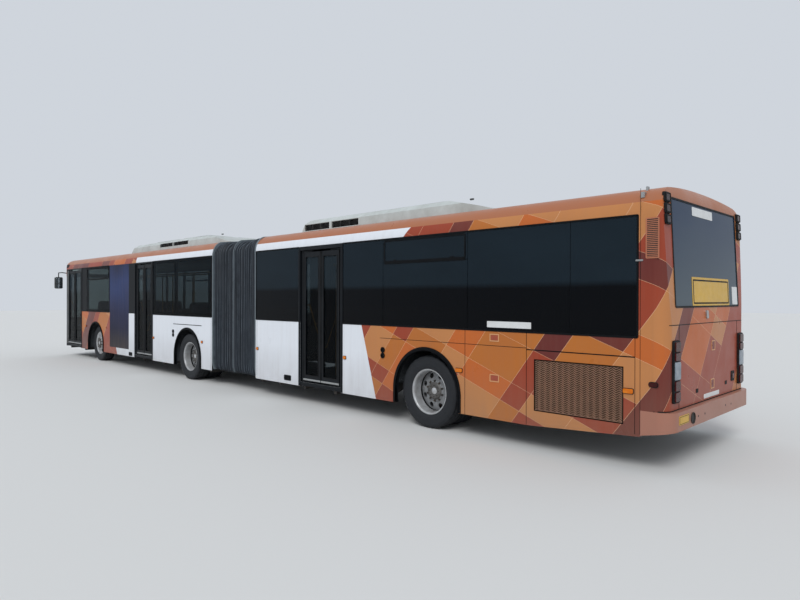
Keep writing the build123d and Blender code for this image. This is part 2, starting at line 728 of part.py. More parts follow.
# Drive axle: low bridge tube with its gear housing and a raised box at each end
gear_radius = 165
gear_middle_y = -130
gear_half_length = 230
gear_pot_radius = 95
gear_profile = [(gear_half_length, 0), (gear_half_length, gear_pot_radius), (140, 130),
                (90, gear_radius), (-90, gear_radius), (-140, 130),
                (-gear_half_length, gear_pot_radius), (-gear_half_length, 0)]
with BuildPart() as drive_axle:
    with BuildSketch(Plane.XY.offset(bridge_z)) as gear_half:
        with BuildLine():
            Polyline(*[(drive_axle_x + r, gear_middle_y + v) for v, r in gear_profile], close=True)
        make_face()
    revolve(gear_half.sketch, axis=Axis((drive_axle_x, 0, bridge_z), (0, 1, 0)))
    with Locations(Location((drive_axle_x, 0, bridge_z), (90, 0, 0))):
        Cylinder(bridge_radius, 2 * riser_y + 20)
    for sign in (1, -1):
        reach = sorted((sign * riser_y, sign * (riser_y + riser_width)))
        block((drive_axle_x - 110, reach[0], bridge_z - 95),
              (drive_axle_x + 110, reach[1], tyre_radius + 65))
        pad = sorted((sign * (rail_offset - 30), sign * (rail_offset + 30)))
        block((drive_axle_x - 60, pad[0], bridge_z), (drive_axle_x + 60, pad[1], high_rail_z))
        with Locations(Location((drive_axle_x, sign * (riser_y + riser_width - 10), tyre_radius),
                                (-sign * 90, 0, 0))):
            Cylinder(hub_bore - pin_gap, hub_reach,
                     align=(Align.CENTER, Align.CENTER, Align.MIN))
keep(drive_axle, "drive_axle")

# Wheels. Profiles are half sections: distance outward from the wheel's own middle, radius
tyre_flank = [(bead_inset + bead_taper, bead_radius), (0, tyre_radius - 90), (30, tyre_radius)]
tyre_section = [(inset - half_tyre, r) for inset, r in tyre_flank]
tyre_section += [(half_tyre - inset, r) for inset, r in reversed(tyre_flank)]


def turned(section, axle_x, sign, mid_y, mode=Mode.ADD):
    """Turn a half section about the wheel's axis. Outward is away from the bus."""
    with BuildSketch(Plane.XY.offset(tyre_radius)) as half_section:
        with BuildLine():
            Polyline(*[(axle_x + r, sign * (mid_y + out)) for out, r in section], close=True)
        make_face()
    revolve(half_section.sketch, axis=Axis((axle_x, 0, tyre_radius), (0, 1, 0)), mode=mode)


def rim_section(disc_out, twin_reach):
    """Rim barrel with its flanges and the wheel disc, disc_out from the outer tyre's middle."""
    lip = half_tyre - bead_inset + pin_gap
    return [
        (lip, flange_radius),
        (lip + lip_thickness, flange_radius),
        (lip + lip_thickness, rim_radius - barrel_thickness),
        (disc_out + disc_thickness, rim_radius - 2 * barrel_thickness),
        (disc_out + disc_thickness, hub_dish_radius),
        (disc_out + hub_depth, hub_cap_radius),
        (disc_out + hub_depth, hub_bore),
        (disc_out - hub_depth, hub_bore),
        (disc_out - disc_thickness, hub_dish_radius),
        (disc_out - disc_thickness, rim_radius - 2 * barrel_thickness),
        (-lip - lip_thickness - twin_reach, rim_radius - barrel_thickness),
        (-lip - lip_thickness - twin_reach, flange_radius),
        (-lip - twin_reach, flange_radius),
        (-lip - twin_reach, rim_radius),
        (lip, rim_radius),
    ]


wheel_rows = {
    "front": (steered_axle_x, steered_outer_face - half_tyre, steered_disc, 0),
    "middle": (middle_axle_x, twin_outer_face - half_tyre, twin_disc, twin_spacing),
    "rear": (drive_axle_x, twin_outer_face - half_tyre, twin_disc, twin_spacing),
}
for axle, (axle_x, mid_y, disc_out, twin_reach) in wheel_rows.items():
    for side, sign in sides.items():
        with BuildPart() as wheel:
            turned(rim_section(disc_out, twin_reach), axle_x, sign, mid_y)
            turned(tyre_section, axle_x, sign, mid_y)
            if twin_reach:
                turned(tyre_section, axle_x, sign, mid_y - twin_reach)
        keep(wheel, f"{axle}_{side}_wheel")

# Doorways: two leaves each, carried in their middle by arms on two turning posts
for door, (section, door_x, door_end_x, head_z) in doorways.items():
    leaf_top_z = head_z - 30
    leaf_low_z = floor_z + 10 + arm_thickness + arm_clearance
    post_span = door_end_x - door_x - 2 * post_inset
    middle_x = (door_x + door_end_x) / 2
    arm_length = post_span / 4
    leaf_length = post_span / 2 - jamb_gap - meeting_gap
    leaf_middle = (post_span / 2 - meeting_gap + jamb_gap) / 2
    for end, away in (("front", 1), ("rear", -1)):
        post_x = middle_x + away * post_span / 2
        pivot = (post_x - away * post_span / 4, door_plane_y)
        leaf_x = post_x - away * leaf_middle
        with BuildPart() as arm:
            with Locations((post_x, door_plane_y, floor_z + pin_gap)):
                Cylinder(post_radius, head_z - floor_z - 2 * pin_gap,
                         align=(Align.CENTER, Align.CENTER, Align.MIN))
            for plate_z in (floor_z + 10, leaf_top_z + arm_clearance):
                with BuildSketch(Plane.XY.offset(plate_z)):
                    with Locations(((post_x + pivot[0]) / 2, door_plane_y)):
                        SlotCenterToCenter(arm_length, 2 * arm_half_width)
                extrude(amount=arm_thickness)
            for pin_z in (leaf_low_z - arm_clearance, leaf_top_z - door_pin_length):
                with Locations((*pivot, pin_z)):
                    Cylinder(door_pin_radius, door_pin_length + arm_clearance,
                             align=(Align.CENTER, Align.CENTER, Align.MIN))
        keep(arm, f"{door}_door_{end}_arm")

        with BuildPart() as leaf:
            with Locations((leaf_x, door_plane_y, (leaf_low_z + leaf_top_z) / 2)):
                Box(leaf_length, leaf_thickness, leaf_top_z - leaf_low_z)
            stile = 62
            rail_low = 90
            glass_z = (leaf_low_z + rail_low, leaf_top_z - 80)
            block((leaf_x - leaf_length / 2 + stile, door_plane_y - 50, glass_z[0]),
                  (leaf_x + leaf_length / 2 - stile, door_plane_y + 50, glass_z[1]), Mode.SUBTRACT)
            for pin_z in (leaf_low_z, leaf_top_z - door_pin_length - 1):
                with Locations((*pivot, pin_z)):
                    Cylinder(door_pin_radius + pin_gap, door_pin_length + 1,
                             align=(Align.CENTER, Align.CENTER, Align.MIN), mode=Mode.SUBTRACT)
            glass_edge = stile + pin_gap
            block((leaf_x - leaf_length / 2 + glass_edge, door_plane_y - 4, glass_z[0] + pin_gap),
                  (leaf_x + leaf_length / 2 - glass_edge, door_plane_y + 4, glass_z[1] - pin_gap))
        keep(leaf, f"{door}_door_{end}_leaf")


# Turntable: a ring bearing on the front section over a ring on the rear section
ring_radius = 430
ring_bore = 300
lower_ring_z = rail_z + 1
ring_thickness = 30
upper_ring_z = lower_ring_z + ring_thickness + pin_gap
draw_arm_half = 300
with BuildPart() as turntable_upper:
    with BuildSketch(Plane.XY.offset(upper_ring_z)):
        with Locations((pivot_x, 0)):
            Circle(ring_radius)
        with Locations(((pivot_x + front_section_x + draw_bar_inset) / 2, 0)):
            Rectangle(front_section_x + draw_bar_inset - pivot_x, 2 * draw_arm_half)
        with Locations((pivot_x, 0)):
            Circle(ring_bore, mode=Mode.SUBTRACT)
    extrude(amount=floor_under_z - upper_ring_z)
    with BuildSketch(Plane.XY.offset(floor_under_z)):
        with Locations((pivot_x, 0)):
            Circle(ring_radius)
            Circle(ring_radius - 40, mode=Mode.SUBTRACT)
    extrude(amount=floor_z - 8 - floor_under_z)
keep(turntable_upper, "turntable_upper")

with BuildPart() as turntable_lower:
    with BuildSketch(Plane.XY.offset(lower_ring_z)):
        with Locations((pivot_x, 0)):
            Circle(ring_radius)
        with Locations(((pivot_x + rear_section_x - draw_bar_inset) / 2, 0)):
            Rectangle(pivot_x - rear_section_x + draw_bar_inset, 2 * draw_arm_half)
        with Locations((pivot_x, 0)):
            Circle(ring_bore, mode=Mode.SUBTRACT)
    extrude(amount=ring_thickness)
keep(turntable_lower, "turntable_lower")

plate_gap = 12
with BuildPart() as passage_floor:
    with Locations((pivot_x, 0, floor_z - 8)):
        Cylinder(bellows_length / 2 - plate_gap, 8, align=(Align.CENTER, Align.CENTER, Align.MIN))
keep(passage_floor, "passage_floor")

# Bellows: its outer form as one plain sleeve, open underneath
bellows_fold = 90
bellows_low_z = 300
with BuildPart() as bellows:
    add(outer_form)
    add(body_form(bellows_fold, bottom_drop=200), mode=Mode.SUBTRACT)
    block((rear_section_x + pin_gap, -half_width, bellows_low_z),
          (front_section_x - pin_gap, half_width, crown_z),
          Mode.INTERSECT)
keep(bellows, "bellows")

# Seats: side, place of the cushion's back edge in its section, what it stands on, facing
seat_width = 880
seat_outer_y = wall_inner - 20
cushion_rise = 340
seat_outline = [(0, 0), (430, 0), (430, 75), (60, 62), (-70, 560), (-125, 560)]
seat_foot = (120, 300, 80)
seat_slot_width = 20
seat_slot_rise = 90
box_seat_offset = 140
front_seat_pitch = 770


def past_box(axle, section, room):
    """Station ahead of a wheel box, with room for a seat's sloping back."""
    axle_x, radius, half_box = arches[axle]
    return axle_x + half_box + box_wall + room - section_start[section]


first_front_row = past_box("middle", "front", 180)
first_mid_deck_row = past_box("drive", "rear", 125)
seat_rows = {
    "rear": [
        ("left", 560, engine_deck_z, 1), ("right", 560, engine_deck_z, 1),
        ("left", 1330, engine_deck_z, 1), ("right", 1330, engine_deck_z, 1),
        ("left", first_mid_deck_row, mid_deck_z, 1), ("right", first_mid_deck_row, mid_deck_z, 1),
        ("left", 6650, floor_z, 1), ("right", 5000, floor_z, 1),
        ("right", 5790, floor_z, 1), ("right", 6580, floor_z, 1),
    ],
    "front": [("left", first_front_row, floor_z, 1), ("left", 4128, floor_z, 1),
              ("left", 4898, floor_z, 1)],
}
for row in range(5):
    seat_rows["front"].append(("right", first_front_row + row * front_seat_pitch, floor_z, 1))
for section, axles in section_arches.items():
    for axle in axles:
        for side in sides:
            axle_station = arches[axle][0] - section_start[section]
            seat_rows[section].append((side, axle_station + box_seat_offset, wheel_box_top_z, 1))
            seat_rows[section].append((side, axle_station - box_seat_offset, wheel_box_top_z, -1))


def seat_block(side, seat_x, base_z, facing):
    """One double seat: its shell cut from the side view, standing on its foot or on a wheel box."""
    sign = sides[side]
    on_box = base_z == wheel_box_top_z
    cushion_z = base_z if on_box else base_z + cushion_rise
    middle_y = sign * (seat_outer_y - seat_width / 2)
    with BuildSketch(Plane.XZ.offset(-middle_y - seat_width / 2)) as side_view:
        with BuildLine():
            Polyline(*[(seat_x + facing * u, cushion_z + v) for u, v in seat_outline], close=True)
        make_face()
    extrude(side_view.sketch, amount=seat_width)
    slot_reach = sorted((seat_x - facing * 130, seat_x + facing * 70))
    block((slot_reach[0], middle_y - seat_slot_width / 2, cushion_z + seat_slot_rise),
          (slot_reach[1], middle_y + seat_slot_width / 2, cushion_z + seat_outline[-1][1] + 1),
          Mode.SUBTRACT)
    if not on_box:
        back, front, width = seat_foot
        block((seat_x + back, middle_y - width / 2, base_z),
              (seat_x + front, middle_y + width / 2, cushion_z))


for section, rows in seat_rows.items():
    with BuildPart() as seats:
        for side, station, base_z, facing in rows:
            seat_block(side, at(station, section), base_z, facing)
    keep(seats, f"{section}_seats")

# Handrails: poles up to a long rail on each side of the aisle. Place in the section, base
rail_y = 270
rail_top_z = 2330
tube_radius = 16
tube_facets = 8
pole_rows = {
    "rear": [(1200, engine_deck_z), (2400, mid_deck_z), (3850, mid_deck_z), (4900, floor_z),
             (6250, floor_z)],
    "front": [(218, floor_z), (2708, floor_z), (3858, floor_z), (5668, floor_z), (7318, floor_z)],
}
for section, rows in pole_rows.items():
    with BuildPart() as handrails:
        for sign in (1, -1):
            for station, base_z in rows:
                with BuildSketch(Plane.XY.offset(base_z)) as pole_section:
                    with Locations((at(station, section), sign * rail_y)):
                        RegularPolygon(tube_radius, tube_facets)
                extrude(pole_section.sketch, amount=rail_top_z - base_z)
            rail_start = at(rows[0][0], section) - 60
            rail_end = at(rows[-1][0], section) + 60
            with BuildSketch(Plane.YZ.offset(rail_start)) as rail_tube:
                with Locations((sign * rail_y, rail_top_z)):
                    RegularPolygon(tube_radius, tube_facets)
            extrude(rail_tube.sketch, amount=rail_end - rail_start)
    keep(handrails, f"{section}_handrails")

# Driver's place: seat, dashboard with the column, and the steering wheel
driver_y = -720
driver_seat_x = front_seam_x - 960
with BuildPart() as driver_seat:
    with BuildSketch(Plane.XZ.offset(-driver_y - 250)):
        with BuildLine():
            Polyline(*[(driver_seat_x + u, driver_floor_z + 380 + 1.35 * v) for u, v in seat_outline],
                     close=True)
        make_face()
    extrude(amount=500)
    with Locations((driver_seat_x + 210, driver_y, driver_floor_z)):
        Box(300, 340, 380, align=(Align.CENTER, Align.CENTER, Align.MIN))
keep(driver_seat, "driver_seat")

wheel_tilt = 30
steering_x = front_seam_x - 500
steering_z = 1300
steering_radius = 225
steering_place = Location((steering_x, driver_y, steering_z), (0, -wheel_tilt, 0))
dash_outline = [(-310, driver_floor_z), (-310, 880), (-410, 1010), (-370, 1090), (-190, 1130),
                (200, 1130), (200, driver_floor_z)]
with BuildPart() as dashboard:
    with BuildSketch(Plane.XZ.offset(-wall_inner)):
        with BuildLine():
            Polyline(*[(front_seam_x + ahead, z) for ahead, z in dash_outline], close=True)
        make_face()
    extrude(amount=2 * wall_inner)
    block((front_seam_x - 790, -150, 0), (front_x, wall_inner, windscreen_z), Mode.SUBTRACT)
    block((front_seam_x - 790, -150, 0), (front_seam_x + 10, wall_inner, crown_z), Mode.SUBTRACT)
    add(inner_form, mode=Mode.INTERSECT)
    with Locations(steering_place * Location((0, 0, -60 - pin_gap))):
        Cylinder(34, 300, align=(Align.CENTER, Align.CENTER, Align.MAX))
keep(dashboard, "dashboard")

with BuildPart() as steering_wheel:
    with BuildSketch(Plane.XZ) as rim_ring:
        with Locations((steering_radius, 0)):
            RegularPolygon(15, 6)
    revolve(rim_ring.sketch, axis=Axis.Z)
    for turn in (90, 210, 330):
        with Locations(Location((0, 0, 0), (0, 0, turn))):
            Box(steering_radius, 34, 12, align=(Align.MIN, Align.CENTER, Align.CENTER))
    with Locations((0, 0, -60)):
        Cylinder(46, 70, align=(Align.CENTER, Align.CENTER, Align.MIN))
steering_wheel.part.location = steering_place
keep(steering_wheel, "steering_wheel")

# Mirrors: a head ahead of each front corner on a bent arm
mirror_y = half_width + 100
mirror_head = (80, 210, 350)
mirror_head_x = front_x + mirror_reach - mirror_head[0] / 2
mirror_head_z = 2175
mirror_arm_z = 2480
with BuildPart() as mirrors:
    for sign in (1, -1):
        with BuildPart(mode=Mode.PRIVATE) as mirror_arm:
            with BuildLine():
                Polyline((front_seam_x + 60, sign * (half_width - 30), mirror_arm_z - 20),
                         (front_seam_x + 130, sign * mirror_y, mirror_arm_z),
                         (mirror_head_x, sign * mirror_y, mirror_arm_z),
                         (mirror_head_x, sign * mirror_y, mirror_head_z))
            with BuildSketch(Plane(origin=(front_seam_x + 60, sign * (half_width - 30), mirror_arm_z - 20),
                                   z_dir=(70, sign * (mirror_y - half_width + 30), 20))):
                RegularPolygon(14, 8)
            sweep(transition=Transition.RIGHT)
            add(outer_form, mode=Mode.SUBTRACT)
        add(mirror_arm.part)
        with BuildSketch(Plane.YZ.offset(mirror_head_x - mirror_head[0] / 2)) as head:
            with Locations((sign * mirror_y, mirror_head_z)):
                RectangleRounded(mirror_head[1], mirror_head[2], 40)
        extrude(head.sketch, amount=mirror_head[0])
keep(mirrors, "mirrors")

# Roof units. Side view along the section, then the side vents: start, end, low and high Z
unit_half_width = 850
unit_top_half = 760
vent_depth = 45
roof_units = {
    "rear": ([(2320, 2780), (2320, 2860), (2610, 2945), (3280, 3100), (6345, 3100), (6477, 2900),
              (6477, 2780)], [(5001, 5671, 2895, 3000), (5732, 6408, 2895, 3000)]),
    "front": ([(68, 2780), (68, 2890), (788, 3060), (1788, 3110), (4744, 3085), (4988, 2900),
               (4988, 2780)], [(1848, 2588, 2940, 3030), (2621, 3301, 2940, 3030)]),
}
for section, (outline, vents) in roof_units.items():
    with BuildPart() as roof_unit:
        with BuildSketch(Plane.XZ.offset(-unit_half_width)):
            with BuildLine():
                Polyline(*[(at(station, section), z) for station, z in outline], close=True)
            make_face()
        extrude(amount=2 * unit_half_width)
        with BuildSketch(Plane.YZ.offset(rear_x)):
            with BuildLine():
                Polyline((-unit_half_width, 2700), (unit_half_width, 2700),
                         (unit_half_width, 3010), (unit_top_half, 3080),
                         (unit_top_half - 150, 3120), (150 - unit_top_half, 3120),
                         (-unit_top_half, 3080), (-unit_half_width, 3010), close=True)
            make_face()
        extrude(amount=overall_length, mode=Mode.INTERSECT)
        for vent_start, vent_end, z_low, z_high in vents:
            for sign in (1, -1):
                reach = sorted((sign * (unit_half_width - vent_depth), sign * unit_half_width))
                block((at(vent_start, section), reach[0], z_low),
                      (at(vent_end, section), reach[1], z_high), Mode.SUBTRACT)
        add(outer_form, mode=Mode.SUBTRACT)
    keep(roof_unit, f"{section}_roof_unit")

# Radiator grille: a frame with slats, let into the left wall over the engine
grille_frame = 24
slat_count = 16
slat_depth = 26
with BuildPart() as radiator_grille:
    grille_low = (at(grille_start) + 1, half_width - grille_depth, grille_low_z + 1)
    grille_high = (at(grille_end) - 1, half_width - 2, grille_high_z - 1)
    block(grille_low, grille_high)
    block((grille_low[0] + grille_frame, 0, grille_low[2] + grille_frame),
          (grille_high[0] - grille_frame, half_width, grille_high[2] - grille_frame), Mode.SUBTRACT)
    slat_pitch = (grille_high[2] - grille_low[2] - 2 * grille_frame) / slat_count
    for slat in range(slat_count):
        slat_z = grille_low[2] + grille_frame + slat_pitch * (slat + 0.5)
        with Locations(Location(((grille_low[0] + grille_high[0]) / 2, half_width - 15, slat_z),
                                (35, 0, 0))):
            Box(grille_high[0] - grille_low[0] - 2 * grille_frame, slat_depth, 4)
keep(radiator_grille, "radiator_grille")
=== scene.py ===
# Articulated bus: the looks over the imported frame.
# Metres. X runs forward, Y to the bus's left (the door side), Z up from the ground.

import functools
import math
import random

import bmesh
import bpy
from mathutils import Matrix, Vector


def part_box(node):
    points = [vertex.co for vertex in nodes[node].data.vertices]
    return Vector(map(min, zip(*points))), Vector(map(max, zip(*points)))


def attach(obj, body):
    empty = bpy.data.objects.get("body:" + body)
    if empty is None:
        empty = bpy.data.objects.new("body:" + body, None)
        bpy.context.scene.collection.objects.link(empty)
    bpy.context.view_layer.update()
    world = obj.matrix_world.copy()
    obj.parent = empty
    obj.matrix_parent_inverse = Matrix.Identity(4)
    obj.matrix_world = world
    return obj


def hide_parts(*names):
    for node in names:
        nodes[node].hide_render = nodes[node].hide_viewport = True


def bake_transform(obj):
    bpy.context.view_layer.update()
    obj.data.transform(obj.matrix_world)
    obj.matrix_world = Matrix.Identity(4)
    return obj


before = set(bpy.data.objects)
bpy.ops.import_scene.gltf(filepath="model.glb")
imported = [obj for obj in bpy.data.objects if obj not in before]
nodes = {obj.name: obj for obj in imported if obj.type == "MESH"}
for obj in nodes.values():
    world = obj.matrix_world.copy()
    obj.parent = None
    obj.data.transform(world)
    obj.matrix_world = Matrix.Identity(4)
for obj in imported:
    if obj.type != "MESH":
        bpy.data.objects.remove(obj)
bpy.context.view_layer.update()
random.seed(7)

HALF = 1.25
REAR_X, REAR_SEAM = -9.14, -8.82
REAR_END, FRONT_END, PIVOT = -1.809, -0.208, -1.0085
FRONT_SEAM, FRONT_X = 8.65, 8.86
SILL_Z, COVE_Z = 1.346, 2.569
AXLES = {"rear": -5.945, "middle": 0.85, "front": 6.23}
TYRE_R = 0.485
SKIRT_Z, FOOT_Z = 0.283, 0.287
POSTER_X0, POSTER_X1 = 3.958, 5.209
STRIPE_TOP = 2.70
GLASS_Y = 1.249

# Camera at the photograph's place and angle
FOCAL_PX, WIDTH_PX = 607.36, 800
yaw, pitch, roll = -0.791399, -0.002662, 0.002757
ahead = Vector((math.cos(yaw) * math.cos(pitch), math.sin(yaw) * math.cos(pitch), math.sin(pitch)))
right = Vector((math.sin(yaw), -math.cos(yaw), 0))
up = right.cross(ahead)
right, up = (right * math.cos(roll) + up * math.sin(roll),
             up * math.cos(roll) - right * math.sin(roll))
camera = bpy.data.objects.new("camera", bpy.data.cameras.new("camera"))
bpy.context.collection.objects.link(camera)
camera.matrix_world = Matrix.Translation((-11.3636, 7.2182, 1.7297)) @ Matrix(
    (right, up, -ahead)).transposed().to_4x4()
camera.data.sensor_width = 36
camera.data.lens = FOCAL_PX / WIDTH_PX * 36
camera.data.clip_end = 500
bpy.context.scene.camera = camera
bpy.context.scene.view_settings.view_transform = "Standard"


def rgb(red, green, blue):
    """A display colour, 0 to 255, as the shader's linear colour."""
    def linear(c):
        c /= 255
        return c / 12.92 if c <= 0.04045 else ((c + 0.055) / 1.055) ** 2.4
    return (linear(red), linear(green), linear(blue), 1)


class Graph:
    """One material's nodes, with short names for what the materials here need."""

    def __init__(self, name):
        self.mat = bpy.data.materials.new(name)
        self.mat.use_nodes = True
        self.tree = self.mat.node_tree
        self.tree.nodes.clear()
        self.point = self.node("ShaderNodeTexCoord").outputs["Object"]
        split = self.node("ShaderNodeSeparateXYZ", Vector=self.point)
        self.x, self.y, self.z = split.outputs
        facing = self.tree.nodes[0].outputs["Normal"]
        self.nx, self.ny, self.nz = self.node("ShaderNodeSeparateXYZ", Vector=facing).outputs

    def node(self, kind, settings=None, **inputs):
        n = self.tree.nodes.new(kind)
        for key, value in (settings or {}).items():
            setattr(n, key, value)
        for key, value in inputs.items():
            place = int(key[1:]) if key[0] == "i" and key[1:].isdigit() else key.replace("_", " ")
            self.put(n.inputs[place], value)
        return n

    def put(self, socket, value):
        if isinstance(value, bpy.types.NodeSocket):
            self.tree.links.new(value, socket)
        else:
            socket.default_value = value

    def math(self, how, a, b=0.0, c=0.0):
        return self.node("ShaderNodeMath", {"operation": how}, i0=a, i1=b, i2=c).outputs[0]

    def add(self, a, b):
        return self.math("ADD", a, b)

    def mul(self, a, b):
        return self.math("MULTIPLY", a, b)

    def above(self, a, limit):
        return self.math("GREATER_THAN", a, limit)

    def below(self, a, limit):
        return self.math("LESS_THAN", a, limit)

    def between(self, a, low, high):
        return self.mul(self.above(a, low), self.below(a, high))

    def both(self, *masks):
        return functools.reduce(self.mul, masks)

    def either(self, *masks):
        return functools.reduce(lambda a, b: self.math("MAXIMUM", a, b), masks)

    def mix(self, fac, a, b):
        n = self.node("ShaderNodeMix", {"data_type": "RGBA"})
        self.put(n.inputs[0], fac)
        self.put(n.inputs[6], a)
        self.put(n.inputs[7], b)
        return n.outputs[2]

    def fade(self, value, low, high, to_low=0.0, to_high=1.0):
        return self.node("ShaderNodeMapRange", i0=value, i1=low, i2=high, i3=to_low,
                         i4=to_high).outputs[0]

    def scaled(self, size):
        return self.node("ShaderNodeMapping", i0=self.point, i3=size).outputs[0]

    def noise(self, scale, detail=4.0, rough=0.55, size=None):
        where = self.scaled(size) if size else self.point
        return self.node("ShaderNodeTexNoise", Vector=where, Scale=scale, Detail=detail,
                         Roughness=rough).outputs[0]

    def ramp(self, value, stops, steps=False):
        n = self.node("ShaderNodeValToRGB", i0=value)
        n.color_ramp.interpolation = "CONSTANT" if steps else "LINEAR"
        while len(n.color_ramp.elements) < len(stops):
            n.color_ramp.elements.new(0.5)
        for element, (place, colour) in zip(n.color_ramp.elements, stops):
            element.position = place
            element.color = colour
        return n.outputs[0]

    def bump(self, height, strength, distance=0.001):
        return self.node("ShaderNodeBump", Height=height, Strength=strength,
                         Distance=distance).outputs[0]

    def finish(self, colour, roughness, normal=None, **rest):
        shader = self.node("ShaderNodeBsdfPrincipled", Base_Color=colour, Roughness=roughness,
                           **rest)
        if normal:
            self.put(shader.inputs["Normal"], normal)
        out = self.node("ShaderNodeOutputMaterial", Surface=shader.outputs[0])
        out.is_active_output = True
        return self.mat


# Livery colours
COPPER = rgb(166, 104, 72)
ORANGE = rgb(190, 98, 38)
TAN = rgb(190, 128, 76)
TERRACOTTA = rgb(148, 57, 34)
MAROON = rgb(98, 38, 35)
AMBER = rgb(180, 106, 42)
SEAM_PALE = rgb(220, 176, 140)
WHITE = rgb(222, 226, 232)


def patchwork(g):
    """Leaning ribbons of uneven width, crossed by shallower ones, each stretch in its own tint."""
    along = g.add(g.x, g.math("SUBTRACT", g.y, HALF))
    steep = g.add(g.mul(along, 0.80), g.mul(g.z, 0.60))
    shallow = g.add(g.mul(along, -0.36), g.mul(g.z, 0.93))

    def course(value, period, widths, shift):
        run = g.mul(g.add(value, shift), 1 / period)
        place, turn = g.math("FRACT", run), g.math("FLOOR", run)
        stops, edge = [], 0.0
        for k, width in enumerate(widths):
            grey = (0.13 + 0.37 * k) % 0.91
            stops.append((edge, (grey, grey, grey, 1)))
            edge += width
        return g.add(g.node("ShaderNodeSeparateColor", Color=g.ramp(place, stops, steps=True)
                            ).outputs[0], g.mul(turn, 1.37))

    def band(value, shift):
        return course(value, 3.1, (0.17, 0.09, 0.21, 0.12, 0.19, 0.08, 0.14), shift)

    def cross(value, shift):
        return course(value, 1.9, (0.22, 0.12, 0.27, 0.14, 0.25), shift)

    a, b = band(steep, 0.0), cross(shallow, 0.0)

    def chance(value):
        return g.node("ShaderNodeTexWhiteNoise", {"noise_dimensions": "1D"}, W=value).outputs[0]

    def other(value, compared):
        return g.above(g.math("ABSOLUTE", g.math("SUBTRACT", value, compared)), 0.001)

    long_run = g.above(chance(a), 0.66)
    pick = chance(g.add(a, g.mul(b, g.math("SUBTRACT", 1.0, long_run))))
    tint = g.ramp(pick, [(0.0, ORANGE), (0.14, TERRACOTTA), (0.36, TAN), (0.52, AMBER),
                         (0.66, MAROON), (0.78, TERRACOTTA), (0.92, TAN)], steps=True)
    line = g.either(other(band(steep, 0.004), a),
                    g.both(other(cross(shallow, 0.003), b), g.below(long_run, 0.5)))
    shade = g.fade(g.noise(0.8, 2.0, 0.4), 0.3, 0.7, 0.0, 0.22)
    tint = g.mix(shade, tint, rgb(150, 84, 56))
    return g.mix(g.mul(line, 0.8), tint, SEAM_PALE)


